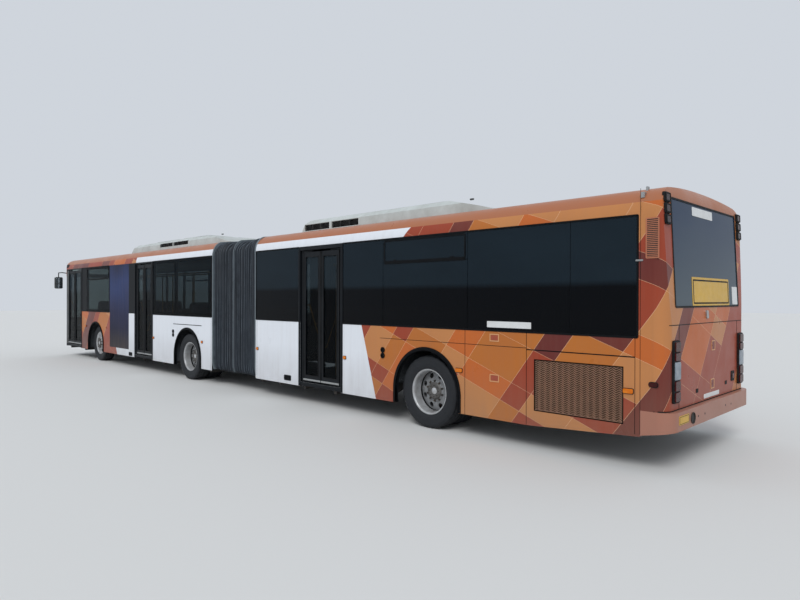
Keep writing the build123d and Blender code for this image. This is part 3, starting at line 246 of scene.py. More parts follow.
def body_paint():
    """The painted body: patchwork at the tail and over the steered axle, white between."""
    g = Graph("body_paint")
    side = g.math("ABSOLUTE", g.y)
    shape = patchwork(g)
    # White panels, with slanting ends
    slant = g.add(g.x, g.mul(g.z, -0.30))
    rear_white = g.both(g.above(slant, -5.07), g.below(g.x, REAR_END + 0.01), g.below(g.z, COVE_Z))
    front_white = g.both(g.above(g.x, FRONT_END - 0.01), g.below(g.x, POSTER_X0),
                         g.below(g.z, COVE_Z))
    foot_slant = g.add(g.x, g.mul(g.z, -0.5))
    tail_white = g.both(g.between(foot_slant, 3.7, 4.555), g.below(g.z, 0.46))
    strip_low = g.between(g.z, COVE_Z - 0.02, STRIPE_TOP)
    strip_slant = g.add(g.x, g.mul(g.z, 0.9))
    strip = g.both(strip_low, g.either(
        g.both(g.above(strip_slant, -3.21), g.below(g.x, REAR_END + 0.01)),
        g.both(g.above(g.x, FRONT_END - 0.01), g.below(g.x, 3.52))))
    nose_white = g.both(g.above(g.x, FRONT_SEAM - 0.26), g.below(g.z, COVE_Z - 0.2))
    white = g.either(rear_white, front_white, tail_white, strip, nose_white)
    colour = g.mix(white, shape, WHITE)
    # Over the stripe the roof is plain copper
    colour = g.mix(g.above(g.z, STRIPE_TOP), colour, COPPER)
    # The tail bumper is a pinker copper
    bumper = g.both(g.below(g.x, REAR_SEAM), g.below(g.z, 0.622))
    colour = g.mix(bumper, colour, rgb(166, 112, 94))
    # Plain blue panel in the poster's place, on the door side
    poster = g.both(g.between(g.x, POSTER_X0, POSTER_X1), g.between(g.z, 0.45, COVE_Z),
                    g.above(g.y, 0))
    wash = g.add(g.z, g.mul(g.noise(0.9, 3.0, 0.5), 1.1))
    blue = g.ramp(g.fade(wash, 0.9, 3.2), [(0.0, rgb(14, 18, 38)), (0.45, rgb(22, 31, 66)),
                                           (0.75, rgb(36, 54, 98)), (1.0, rgb(20, 30, 60))])
    colour = g.mix(poster, colour, blue)
    # The black window band and the recess behind the glass
    band = g.both(g.between(g.z, SILL_Z - 0.004, COVE_Z + 0.001), g.above(g.x, -8.80),
                  g.below(g.x, FRONT_SEAM - 0.02), g.below(poster, 0.5))
    screen = g.both(g.above(g.x, FRONT_SEAM - 0.16), g.between(g.z, 1.0, 2.72),
                    g.below(side, 1.245))
    window = g.both(g.below(g.x, -8.97), g.between(g.z, 1.645, 2.75), g.below(side, 1.012))
    reveal = g.both(g.below(g.math("ABSOLUTE", g.ny), 0.5), g.above(side, 1.19),
                    g.between(g.x, -8.8, 8.6), g.below(g.z, 2.62))
    doors = g.either(g.between(g.x, -4.199, -3.156), g.between(g.x, 2.599, 3.558),
                     g.between(g.x, 7.371, 8.602))
    step = g.both(doors, g.below(g.z, 0.3555), g.above(g.y, 1.19))
    groove = g.both(g.below(side, 1.2485), g.above(side, 1.24), g.below(g.z, SILL_Z),
                    g.between(g.x, -8.815, 8.6))
    tail_groove = g.both(g.between(g.x, -9.0785, -9.07), g.below(side, 1.0), g.below(g.z, 1.5))
    black = g.either(band, screen, window, reveal, step, groove, tail_groove)
    colour = g.mix(black, colour, rgb(17, 20, 24))
    # Inside faces are pale grey laminate
    inward = g.below(g.mul(g.y, g.ny), -0.35)
    ceiling = g.both(g.below(g.nz, -0.4), g.above(g.z, COVE_Z - 0.01))
    ends = g.either(g.both(g.below(g.x, -8.8), g.above(g.nx, 0.5)),
                    g.both(g.above(g.x, 8.3), g.below(g.nx, -0.5)))
    inside = g.either(inward, ceiling, ends)
    colour = g.mix(inside, colour, rgb(168, 170, 170))
    # Road dust towards the skirt and faint streaks
    grime = g.mul(g.fade(g.z, 0.95, 0.28), g.noise(3.2, 6.0, 0.65, (1, 1, 0.6)))
    grime = g.mul(grime, g.below(black, 0.5))
    colour = g.mix(g.mul(grime, 0.5), colour, rgb(120, 108, 96))
    streak = g.math("POWER", g.noise(5.0, 5.0, 0.7, (2.4, 2.4, 0.16)), 3.0)
    colour = g.mix(g.mul(g.mul(streak, 0.35), g.below(black, 0.5)), colour, rgb(132, 112, 98))
    rough = g.fade(g.noise(2.6, 5.0, 0.6), 0.3, 0.75, 0.26, 0.46)
    matt = g.either(black, poster)
    rough = g.node("ShaderNodeMix", {"data_type": "FLOAT"}, i0=matt, i2=rough, i3=0.6).outputs[0]
    ripple = g.bump(g.noise(1.6, 2.0, 0.4), 0.12, 0.01)
    coat = g.fade(matt, 0.0, 1.0, 0.10, 0.0)
    return g.finish(colour, rough, ripple, Specular_IOR_Level=0.18, Coat_Weight=coat,
                    Coat_Roughness=0.08)


def plain(name, colour, worn, roughness=0.5, metallic=0.0, scale=6.0, amount=0.5, grain=300.0,
          depth=0.15, **rest):
    """A moulded or painted surface: two tones in cloudy patches, a fine grain in its bump."""
    g = Graph(name)
    cloud = g.noise(scale, 6.0, 0.62)
    tone = g.mix(g.mul(g.fade(cloud, 0.38, 0.72), amount), rgb(*colour), rgb(*worn))
    rough = g.fade(g.noise(scale * 2.3, 4.0, 0.6), 0.3, 0.7, roughness - 0.07, roughness + 0.1)
    return g.finish(tone, rough, g.bump(g.noise(grain, 2.0), depth), Metallic=metallic, **rest)


def tinted_glass_painted_reflection(name, low, high, through, share=0.45, level=0.20, mid=1.88, soft=0.07):
    """Tinted safety glass: some light goes through. Its colour changes at mid height and in cloudy
    patches: painted reflection over the dark tint.
    """
    g = Graph(name)
    low, high = rgb(*low), rgb(*high)
    smear = g.noise(2.2, 5.0, 0.6, (1, 1, 2.2))
    cloud = g.noise(0.55, 4.0, 0.6, (0.6, 0.6, 1.6))
    edge = mid + 0.01
    # Painted reflection: the low colour below mid height, the high colour above it, broken by
    # cloudy patches of the low colour.
    tone = g.mix(g.fade(g.add(g.z, g.mul(cloud, 0.08)), edge, edge + soft), low, high)
    tone = g.mix(g.fade(cloud, 0.35, 0.7, 0.0, 0.4), tone, low)
    clear = g.node("ShaderNodeBsdfTransparent", Color=through)
    shader = g.node("ShaderNodeBsdfPrincipled", Base_Color=tone, IOR=1.45, Specular_IOR_Level=level,
                    Roughness=g.fade(smear, 0.3, 0.8, 0.03, 0.12))
    blend = g.node("ShaderNodeMixShader", i0=1 - share, i1=clear.outputs[0], i2=shader.outputs[0])
    g.node("ShaderNodeOutputMaterial", Surface=blend.outputs[0])
    return g.mat


def tyre_rubber():
    g = Graph("tyre_rubber")
    dust = g.mul(g.noise(9.0, 6.0, 0.7), 0.45)
    colour = g.mix(dust, rgb(17, 20, 25), rgb(62, 64, 67))
    return g.finish(colour, g.fade(dust, 0.2, 0.6, 0.62, 0.9), g.bump(g.noise(420.0, 3.0), 0.3),
                    Specular_IOR_Level=0.3)


def coated_cloth():
    """The bellows' coated fabric: a woven face in dark blue-grey, stained along the pleats."""
    g = Graph("bellows_cloth")
    weave = g.mul(g.math("SINE", g.mul(g.z, 2600.0)), g.math("SINE", g.mul(g.x, 2600.0)))
    stain = g.noise(1.8, 6.0, 0.65, (1.5, 1.5, 0.3))
    colour = g.mix(g.fade(stain, 0.35, 0.75), rgb(22, 28, 35), rgb(44, 51, 60))
    rough = g.fade(g.noise(7.0, 4.0), 0.3, 0.7, 0.55, 0.75)
    return g.finish(colour, rough, g.bump(weave, 0.12, 0.0005), Sheen_Weight=0.08,
                    Specular_IOR_Level=0.35)


def moquette():
    """Bus seat moquette: deep blue ground with short flecks of grey and rust."""
    g = Graph("seat_moquette")
    fleck = g.node("ShaderNodeTexVoronoi", Vector=g.scaled((1, 1, 2.2)), Scale=46.0)
    pick = g.node("ShaderNodeSeparateColor", Color=fleck.outputs["Color"]).outputs[0]
    flecks = g.ramp(pick, [(0.0, rgb(34, 42, 66)), (0.72, rgb(92, 98, 112)),
                           (0.86, rgb(150, 84, 56)), (0.93, rgb(44, 56, 92))], steps=True)
    pile = g.noise(900.0, 2.0)
    colour = g.mix(g.fade(g.noise(8.0, 5.0), 0.45, 0.8, 0.0, 0.35), flecks, rgb(70, 70, 76))
    return g.finish(colour, g.fade(pile, 0.3, 0.7, 0.8, 0.95), g.bump(pile, 0.5), Sheen_Weight=0.4)


def floor_cover():
    g = Graph("floor_cover")
    fleck = g.node("ShaderNodeTexVoronoi", Vector=g.point, Scale=240.0).outputs["Color"]
    pick = g.node("ShaderNodeSeparateColor", Color=fleck).outputs[0]
    colour = g.ramp(pick, [(0.0, rgb(72, 76, 80)), (0.7, rgb(104, 108, 110)),
                           (0.88, rgb(42, 44, 50))], steps=True)
    colour = g.mix(g.below(g.z, 0.345), colour, rgb(44, 42, 40))
    return g.finish(colour, g.fade(g.noise(4.0), 0.3, 0.7, 0.5, 0.75), g.bump(g.noise(260.0), 0.25))


def lamp_lens(name, colour, glow):
    """A ribbed lamp lens over its reflector."""
    g = Graph(name)
    ribs = g.mul(g.math("SINE", g.mul(g.z, 900.0)), g.math("SINE", g.mul(g.y, 900.0)))
    tone = g.mix(g.fade(g.noise(14.0), 0.3, 0.7), rgb(*colour), rgb(*glow))
    return g.finish(tone, g.fade(g.noise(20.0), 0.3, 0.7, 0.12, 0.22), g.bump(ribs, 0.15, 0.001),
                    Coat_Weight=0.06, Specular_IOR_Level=0.2)


M = {
    "paint": body_paint(),
    "unit": plain("roof_unit_moulding", (190, 196, 194), (148, 150, 144), 0.5, scale=3.0,
                  amount=0.6),
    "vent": plain("vent_dark", (26, 27, 29), (52, 50, 48), 0.6),
    "glass": tinted_glass_painted_reflection("side_glass", (6, 9, 15), (36, 50, 60), (0.12, 0.14, 0.15, 1)),
    "front_glass": tinted_glass_painted_reflection("front_side_glass", (8, 12, 16), (20, 30, 38),
                                (0.58, 0.63, 0.64, 1), share=0.70, level=0.10),
    "rear_glass": tinted_glass_painted_reflection("rear_glass", (82, 94, 102), (34, 56, 86), (0.10, 0.12, 0.14, 1),
                               0.15, 0.12, 1.75, 0.9),
    "door_glass": tinted_glass_painted_reflection("door_glass", (7, 10, 13), (58, 70, 78), (0.58, 0.62, 0.63, 1),
                               share=0.60, level=0.10),
    "screen": tinted_glass_painted_reflection("windscreen_glass", (20, 26, 28), (24, 32, 34), (0.72, 0.78, 0.76, 1),
                           share=0.75, level=0.5),
    "gasket": plain("glazing_rubber", (8, 10, 13), (17, 19, 22), 0.6, amount=0.5,
                    Specular_IOR_Level=0.12),
    # A lighter copy of the bellows cloth for the fold crests: a painted highlight.
    "binding": plain("bellows_crest_highlight", (84, 94, 104), (46, 52, 60), 0.55, amount=1.0),
    "hoop": plain("hoop_alloy", (112, 122, 128), (78, 84, 90), 0.5, 0.3),
    "hole": plain("grille_black_and_painted_shade", (9, 9, 10), (20, 19, 18), 0.8, Specular_IOR_Level=0.1),
    "rubber": plain("black_rubber", (14, 15, 17), (40, 40, 40), 0.62, amount=0.6,
                    Specular_IOR_Level=0.2),
    "plastic": plain("black_plastic", (24, 25, 27), (44, 44, 44), 0.42),
    "door": plain("door_frame_coat", (13, 17, 22), (24, 28, 32), 0.45, Specular_IOR_Level=0.18),
    "tyre": tyre_rubber(),
    "rim": plain("rim_paint", (176, 178, 180), (112, 104, 96), 0.42, 0.35, scale=12.0),
    "rim_dark": plain("rim_disc_darker_grey", (136, 138, 140), (78, 76, 74), 0.6, 0.2, scale=14.0),
    "hub": plain("hub_grime", (96, 94, 92), (56, 52, 48), 0.5, 0.3, scale=24.0, amount=0.8),
    "cap": plain("hub_cap_paint", (186, 188, 190), (120, 114, 108), 0.4, 0.3, scale=30.0),
    "chassis": plain("chassis_black", (30, 30, 31), (84, 76, 68), 0.7, amount=0.8),
    "cast": plain("cast_steel", (62, 60, 58), (98, 84, 70), 0.62, 0.5, amount=0.8),
    "alloy": plain("bare_aluminium", (178, 180, 180), (120, 118, 114), 0.36, 0.85),
    "cloth": coated_cloth(),
    "seat": moquette(),
    "piping": plain("seat_piping", (38, 42, 52), (58, 60, 66), 0.7, scale=40.0),
    "driver_cloth": plain("driver_seat_cloth", (44, 46, 52), (70, 70, 72), 0.92, scale=24.0,
                          grain=700.0, depth=0.5, Sheen_Weight=0.3),
    "leg": plain("seat_leg_steel", (74, 78, 82), (110, 106, 100), 0.4, 0.6, scale=16.0),
    "unit_dark": plain("roof_unit_slats", (44, 45, 46), (78, 74, 70), 0.6, amount=0.6),
    "shell": plain("seat_shell_grey", (70, 74, 80), (104, 104, 104), 0.5),
    "rail": plain("handrail_yellow", (222, 160, 38), (168, 116, 40), 0.35, amount=0.3),
    "floor": floor_cover(),
    "red": lamp_lens("lens_red", (48, 9, 10), (74, 15, 14)),
    "amber": lamp_lens("lens_amber", (198, 98, 14), (216, 124, 30)),
    "clear": lamp_lens("lens_clear", (112, 122, 132), (148, 156, 164)),
    "grille": plain("grille_bronze", (158, 120, 96), (112, 88, 74), 0.55, 0.1, scale=18.0),
    "yellow": plain("sign_yellow", (206, 164, 58), (176, 140, 62), 0.4, amount=0.4),
    "white": plain("label_white", (214, 216, 216), (180, 176, 170), 0.4, amount=0.3),
    "tan": plain("trim_tan", (203, 150, 104), (176, 124, 88), 0.35, amount=0.4),
    "copper": plain("trim_copper", (172, 106, 76), (140, 84, 64), 0.4, amount=0.5),
    "terracotta": plain("trim_terracotta", (160, 74, 48), (128, 62, 46), 0.4, amount=0.5),
    "maroon": plain("trim_maroon", (120, 56, 46), (98, 50, 44), 0.4, amount=0.5),
    "smoked": lamp_lens("lens_smoked_amber", (50, 18, 13), (72, 28, 18)),
    "deep_red": lamp_lens("lens_deep_red", (30, 7, 8), (48, 11, 11)),
    "mirror": plain("mirror_glass", (186, 194, 200), (170, 176, 180), 0.1, 0.95, amount=0.2,
                    depth=0.0),
}


def dress(node, *mats):
    """Give a CAD node its materials, in place of those that it came with."""
    ob = nodes[node]
    if not ob.material_slots:
        ob.data.materials.append(None)
    for k, slot in enumerate(ob.material_slots):
        slot.link = "OBJECT"
        slot.material = mats[min(k, len(mats) - 1)]


plain_nodes = {
    "paint": "front_left_side front_right_side front_roof front_mask front_bumper rear_left_side "
             "rear_right_side rear_roof rear_panel rear_bumper",
    "unit": "front_roof_unit rear_roof_unit",
    "glass": "rear_section_windows",
    "front_glass": "front_section_windows",
    "rear_glass": "rear_window",
    "screen": "windscreen",
    "chassis": "front_chassis rear_chassis turntable_lower turntable_upper engine",
    "cast": "front_axle_beam middle_axle drive_axle left_knuckle right_knuckle",
    "floor": "front_floor rear_floor",
    "alloy": "passage_floor",
    "rail": "front_handrails rear_handrails",
    "plastic": "dashboard driver_seat mirrors wipers steering_wheel",
    "clear": "front_lamps",
    "grille": "radiator_grille",
    "rubber": "rear_lamps",
    "door": " ".join(f"{d}_door_{e}_{p}" for d in ("rear", "middle", "front")
                     for e in ("front", "rear") for p in ("arm", "leaf")),
}
for mat, names in plain_nodes.items():
    for name in names.split():
        dress(name, M[mat])


def split_by_part(node, chooser):
    """Set the material of each loose part of a CAD node; chooser gets the part's corners."""
    ob = nodes[node]
    mesh = ob.data
    places = [tuple(round(c, 5) for c in v.co) for v in mesh.vertices]
    parent = {place: place for place in places}

    def root(place):
        while parent[place] != place:
            parent[place] = place = parent[parent[place]]
        return place
    for face in mesh.polygons:
        a = root(places[face.vertices[0]])
        for k in face.vertices[1:]:
            parent[root(places[k])] = a
    boxes = {}
    for v, place in zip(mesh.vertices, places):
        low, high = boxes.setdefault(root(place), (list(v.co), list(v.co)))
        low[:], high[:] = map(min, low, v.co), map(max, high, v.co)
    choice = {part: chooser(*corners) for part, corners in boxes.items()}
    picks = [choice[root(places[face.vertices[0]])] for face in mesh.polygons]
    mats = list(dict.fromkeys(picks))
    mesh.materials.clear()
    for mat in mats:
        mesh.materials.append(mat)
    mesh.polygons.foreach_set("material_index", [mats.index(p) for p in picks])
    for slot in ob.material_slots:
        slot.link = "DATA"


for door in ("rear", "middle", "front"):
    for end in ("front", "rear"):
        split_by_part(f"{door}_door_{end}_leaf",
                      lambda low, high: M["door_glass"] if high[1] - low[1] < 0.012 else M["door"])


def new_piece(name, bm, mats, body):
    """Make an object from a bmesh, with its materials, and let it ride on its body."""
    bmesh.ops.recalc_face_normals(bm, faces=bm.faces)
    mesh = bpy.data.meshes.new(name)
    bm.to_mesh(mesh)
    bm.free()
    for mat in mats.split():
        mesh.materials.append(M[mat])
    ob = bpy.data.objects.new(name, mesh)
    bpy.context.collection.objects.link(ob)
    if body:
        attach(ob, body)
    return ob


def brick(bm, low, high, bevel=0.0, mat=0, steps=1):
    """A block between two corners with rounded edges, added to bm."""
    size = [abs(b - a) for a, b in zip(low, high)]
    centre = [(a + b) / 2 for a, b in zip(low, high)]
    place = Matrix.Translation(centre) @ Matrix.Diagonal((*size, 1))
    made = bmesh.ops.create_cube(bm, size=1, matrix=place)
    faces = {f for v in made["verts"] for f in v.link_faces}
    if bevel:
        edges = list({e for v in made["verts"] for e in v.link_edges})
        out = bmesh.ops.bevel(bm, geom=edges, offset=bevel, segments=steps, affect="EDGES",
                              profile=0.5)
        faces = {f for f in faces if f.is_valid} | set(out["faces"])
    for f in faces:
        f.material_index = mat


def rounded(a0, a1, b0, b1, radius, steps=4):
    """The outline of a rectangle with rounded corners, as (a, b) points."""
    points = []
    for ca, cb, start in ((a1 - radius, b1 - radius, 0), (a0 + radius, b1 - radius, 90),
                          (a0 + radius, b0 + radius, 180), (a1 - radius, b0 + radius, 270)):
        for k in range(steps + 1):
            turn = math.radians(start + 90 * k / steps)
            points.append((ca + radius * math.cos(turn), cb + radius * math.sin(turn)))
    return points


def square(a0, a1, b0, b1):
    """The outline of a rectangle with sharp corners."""
    return [(a0, b0), (a1, b0), (a1, b1), (a0, b1)]


def about(a, b, wide, high):
    """The sides of a rectangle, half its width and height on each side of its middle."""
    return (a - wide, a + wide, b - high, b + high)


def circle(a, b, radius, count):
    """The outline of a circle."""
    return [(a + radius * math.cos(k * math.pi / (count / 2)),
             b + radius * math.sin(k * math.pi / (count / 2))) for k in range(count)]


def pair(sign, a, b):
    """Two places on one side of the middle, the lower first."""
    return sorted((sign * a, sign * b))


def quads(bm, a, b, mat=0, closed=True):
    """Faces between two rows of vertices."""
    for k in range(len(a) if closed else len(a) - 1):
        j = (k + 1) % len(a)
        if len({a[k], a[j], b[j], b[k]}) > 2:
            face = bm.faces.new((a[k], a[j], b[j], b[k]))
            face.material_index = mat


def plate(bm, outline, place, depth, mat=0, base=0.0, soft=0.002):
    """A flat plate over an outline: place(a, b, out) gives the point that far off the surface."""
    ca = sum(p[0] for p in outline) / len(outline)
    cb = sum(p[1] for p in outline) / len(outline)
    low = [bm.verts.new(place(a, b, base)) for a, b in outline]
    rim = [bm.verts.new(place(a, b, max(depth - soft, base + 0.0002))) for a, b in outline]
    top = []
    for a, b in outline:
        away = math.hypot(a - ca, b - cb) or 1
        top.append(bm.verts.new(place(a + (ca - a) * soft / away, b + (cb - b) * soft / away,
                                      depth)))
    quads(bm, low, rim, mat)
    quads(bm, rim, top, mat)
    bm.faces.new(top).material_index = mat
    bm.faces.new(low[::-1]).material_index = mat


def band(bm, outer, inner, place, depth, mat=0, base=0.0, closed=True):
    """A strip between two outlines with the same number of points, standing off the surface."""
    rows = [[bm.verts.new(place(a, b, out)) for a, b in line]
            for line, out in ((outer, base), (outer, depth), (inner, depth), (inner, base))]
    for k in range(4):
        quads(bm, rows[k], rows[(k + 1) % 4], mat, closed)
    if not closed:
        for end in (0, -1):
            bm.faces.new([row[end] for row in rows]).material_index = mat


def border(bm, a0, a1, b0, b1, width, radius, place, depth, mat=0, base=0.0):
    """A rounded frame round the rectangle a0..a1, b0..b1, width wide, lying inside it."""
    inner = max(radius - width, 0.002)
    band(bm, rounded(a0, a1, b0, b1, radius),
         rounded(a0 + width, a1 - width, b0 + width, b1 - width, inner), place, depth, mat, base)


def on_side(sign=1, plane=HALF):
    """Points on a side wall: a is X, b is Z."""
    return lambda a, b, out: (a, sign * (plane + out), b)


def tail_corner(y, start, radius=0.15):
    """How far the tail's rounded corner lies forward, from start on outwards."""
    turn = abs(y) - start
    return radius - math.sqrt(max(radius ** 2 - turn ** 2, 0)) if turn > 0 else 0.0


def tail_skin(y, z, out=0.0):
    """X of the tail's outer skin at a height and a distance from the middle."""
    lean = 0.06 * min(max((z - 1.5) / 1.245, 0), 1)
    return -9.08 + max(tail_corner(y, 1.102), lean) - out


def on_tail(a, b, out):
    """Points on the tail: a is Y, b is Z."""
    return (tail_skin(a, b, out), a, b)


def on_bumper(a, b, out):
    """Points on the tail bumper: a is Y, b is Z."""
    return (REAR_X + tail_corner(a, 1.1) - out, a, b)


def turned(bm, profile, centre, sign, count):
    """Rings of vertices about a wheel's axis at centre, one for each (outward, radius)."""
    x, y, z = centre
    return [[bm.verts.new((a, y + sign * out, b)) for a, b in circle(x, z, radius, count)]
            for out, radius in profile]


def lathe(bm, profile, centre, sign, turns, mats=None):
    """Turn a profile of (outward, radius) about a wheel's axis at centre."""
    rings = turned(bm, profile, centre, sign, turns)
    for k in range(len(rings) - 1):
        for j in range(turns):
            quad = (rings[k][j], rings[k][(j + 1) % turns], rings[k + 1][(j + 1) % turns],
                    rings[k + 1][j])
            face = bm.faces.new(quad if sign > 0 else quad[::-1])
            face.material_index = mats[k] if mats else 0
            face.smooth = True
    return rings


# Bellows: one pleated sleeve between the two sections, with a middle hoop and two end hoops
FOLDS, FOLD_DEPTH = 20, 0.082


def hoop_outline(inset):
    """The body's cross-section from the left skirt over the roof to the right skirt, (y, z)."""
    half = HALF - inset
    points = [(half - 0.035 * (1 - k / 3) ** 2, 0.31 + 0.06 * k) for k in range(4)]
    points += [(half, 0.49 + (COVE_Z - 0.49) * k / 15) for k in range(1, 16)]
    # The roof's shoulder, then the low crown
    corner = (half - 0.22, COVE_Z)
    for k in range(1, 8):
        turn = math.radians(90 * k / 8)
        points.append((corner[0] + 0.22 * math.cos(turn),
                       corner[1] + (0.281 - inset) * math.sin(turn)))
    points += [(corner[0] * (1 - k / 9), 2.85 + 0.065 * (1 - (1 - k / 9) ** 2) - inset)
               for k in range(10)]
    return points + [(-y, z) for y, z in points[-2::-1]]


def hoop(bm, x, profile, mat=0):
    """A closed profile of (dx, inset) carried round the body's cross-section, its ends shut."""
    loops = [[bm.verts.new((x + dx, y, z)) for y, z in hoop_outline(inset)]
             for dx, inset in profile]
    for k, loop in enumerate(loops):
        quads(bm, loop, loops[(k + 1) % len(loops)], mat, closed=False)
    for end in (0, -1):
        bm.faces.new([loop[end] for loop in loops]).material_index = mat


def bellows_piece():
    bm = bmesh.new()
    outline = hoop_outline(0.0)
    inner = hoop_outline(FOLD_DEPTH)
    start, end = REAR_END + 0.03, FRONT_END - 0.03
    phases = (0.0, 0.12, 0.29, 0.465, 0.5, 0.535, 0.71, 0.88)
    per_fold, waves = len(phases), 8
    steps = FOLDS * per_fold
    wobble = [[random.uniform(-1, 1) for _ in range(waves + 1)] for _ in range(FOLDS + 1)]
    widths = [1 + random.uniform(-0.24, 0.24) for _ in range(FOLDS // 2)]
    widths += widths[::-1]
    total = sum(widths)
    rows = []
    for k in range(steps + 1):
        phase, fold = phases[k % per_fold], k // per_fold
        width = widths[fold] if fold < FOLDS else 0
        x = start + (end - start) * (sum(widths[:fold]) + width * phase) / total
        depth = abs(2 * phase - 1) ** 0.85
        middle = 1 - abs(2 * k / steps - 1)
        row = []
        for j, ((y0, z0), (y1, z1)) in enumerate(zip(outline, inner)):
            place = waves * j / (len(outline) - 1)
            low = int(min(place, waves - 1))
            sway = wobble[fold][low] * (1 - place + low) + wobble[fold][low + 1] * (place - low)
            share = min(max(depth + 0.22 * sway * (1 - depth), 0.0), 0.97) + 0.03
            y, z = y0 + (y1 - y0) * share, z0 + (z1 - z0) * share
            if z0 > 2.60:
                z -= ((0.05 + 0.024 * sway) * math.sin(math.pi * middle / 2)
                      * min((z0 - 2.6) / 0.2, 1))
            if z0 < 0.45:
                z += 0.014 * abs(sway) * (1 - depth) * (0.45 - z0) / 0.14
            shift = 0.009 * sway * math.sin(2 * math.pi * phase)
            row.append(bm.verts.new((x + shift, y, z)))
        rows.append(row)
    # The two rows at each fold's crest take a lighter copy of the cloth's colour: a painted
    # highlight along the crest.
    for k, (a, b) in enumerate(zip(rows, rows[1:])):
        quads(bm, a, b, 2 if k % per_fold in (3, 4) else 0, closed=False)
    area = sum(f.calc_area() for f in bm.faces)
    around = sum(math.dist(p, q) for p, q in zip(outline, outline[1:]))
    # Give the cloth its thickness towards the inside
    bmesh.ops.recalc_face_normals(bm, faces=bm.faces)
    bmesh.ops.solidify(bm, geom=list(bm.faces), thickness=0.003)
    for f in bm.faces:
        f.smooth = True
    # Middle hoop: a light profile let into the fold at the pivot
    half = 0.007
    hoop(bm, PIVOT, ((-half, 0.05), (-half, 0.006), (half, 0.006), (half, 0.05)), 1)
    piece = new_piece("bellows_sleeve", bm, "cloth hoop binding", None)
    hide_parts("bellows")
    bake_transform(piece)
    for body, x, way in (("rear_section", REAR_END, 1), ("front_section", FRONT_END, -1)):
        bm = bmesh.new()
        hoop(bm, x, [(way * dx, inset) for dx, inset in (
            (0.002, 0.075), (0.002, 0.004), (0.012, -0.004), (0.028, -0.004), (0.034, 0.004),
            (0.034, 0.075))])
        new_piece(f"bellows_hoop_{body}", bm, "hoop", body)


bellows_piece()


# Wheels: tread, sidewalls, rim barrel, disc with hand holes, nuts and hub
def tyre_shape(bm, x, sign, mid_y):
    wall = [(-0.112, 0.300), (-0.120, 0.316), (-0.134, 0.345), (-0.1395, 0.385), (-0.136, 0.425),
            (-0.1385, 0.432), (-0.136, 0.440), (-0.128, 0.466)]
    tread = [(-0.122, 0.476), (-0.110, 0.4815), (-0.088, 0.4835), (-0.087, 0.470), (-0.075, 0.470),
             (-0.074, 0.484), (-0.040, 0.485), (-0.039, 0.471), (-0.028, 0.471), (-0.027, 0.485)]
    half = wall + tread
    profile = half + [(-out, r) for out, r in half[::-1]]
    turns = 84
    rings = lathe(bm, profile, (x, sign * mid_y, TYRE_R), sign, turns)
    # Shoulder lugs and sipes: every third step of the shoulder is cut back
    for k in (8, 9, 10, len(profile) - 9, len(profile) - 10, len(profile) - 11):
        for j in range(0, turns, 3):
            v = rings[k][j]
            v.co.x = x + (v.co.x - x) * 0.984
            v.co.z = TYRE_R + (v.co.z - TYRE_R) * 0.984


def holed_disc(bm, centre, sign, height, mat):
    """A wheel disc between two radii with round hand holes; height(r) is how far out it lies."""
    r_in, r_out, hole_r, hole_at, holes, depth, count = 0.150, 0.268, 0.037, 0.212, 8, 0.012, 8

    def point(a, r, lower=0.0):
        return (centre[0] + r * math.cos(a), centre[1] + sign * (height(r) - lower),
                centre[2] + r * math.sin(a))
    sector = 2 * math.pi / holes
    for k in range(holes):
        mid = sector * (k + 0.5)
        first, last, outline = mid - sector / 2, mid + sector / 2, []
        for a, turn, r, grow in ((first, sector, r_out, 0), (last, 0, r_out, r_in - r_out),
                                 (last, -sector, r_in, 0), (first, 0, r_in, r_out - r_in)):
            outline += [(a + turn * j / count, r + grow * j / count) for j in range(count)]
        hx, hz = hole_at * math.cos(mid), hole_at * math.sin(mid)
        rings = [[], [], [], []]
        for a, r in outline:
            px, pz = r * math.cos(a), r * math.sin(a)
            away = math.hypot(px - hx, pz - hz)
            for ring, share in ((0, 1.0), (1, 0.4)):
                reach = hole_r + (away - hole_r) * share
                qx, qz = hx + (px - hx) * reach / away, hz + (pz - hz) * reach / away
                rings[ring].append(bm.verts.new(point(math.atan2(qz, qx), math.hypot(qx, qz))))
            qx, qz = hx + (px - hx) * hole_r / away, hz + (pz - hz) * hole_r / away
            rings[2].append(bm.verts.new(point(math.atan2(qz, qx), math.hypot(qx, qz), 0.002)))
            rings[3].append(bm.verts.new(point(math.atan2(qz, qx), math.hypot(qx, qz), depth)))
        for inner, outer in zip(rings, rings[1:]):
            quads(bm, inner, outer, mat)


def nut(bm, centre, sign, radius, height, mat):
    """A six-sided nut on its washer, with the stud's end."""
    rows = turned(bm, ((0, radius * 1.25), (0.004, radius * 1.25), (0.004, radius),
                       (height, radius), (height, radius * 0.45),
                       (height + 0.012, radius * 0.42)), centre, sign, 6)
    for a, b in zip(rows, rows[1:]):
        quads(bm, a, b, mat)
    bm.faces.new(rows[-1]).material_index = mat


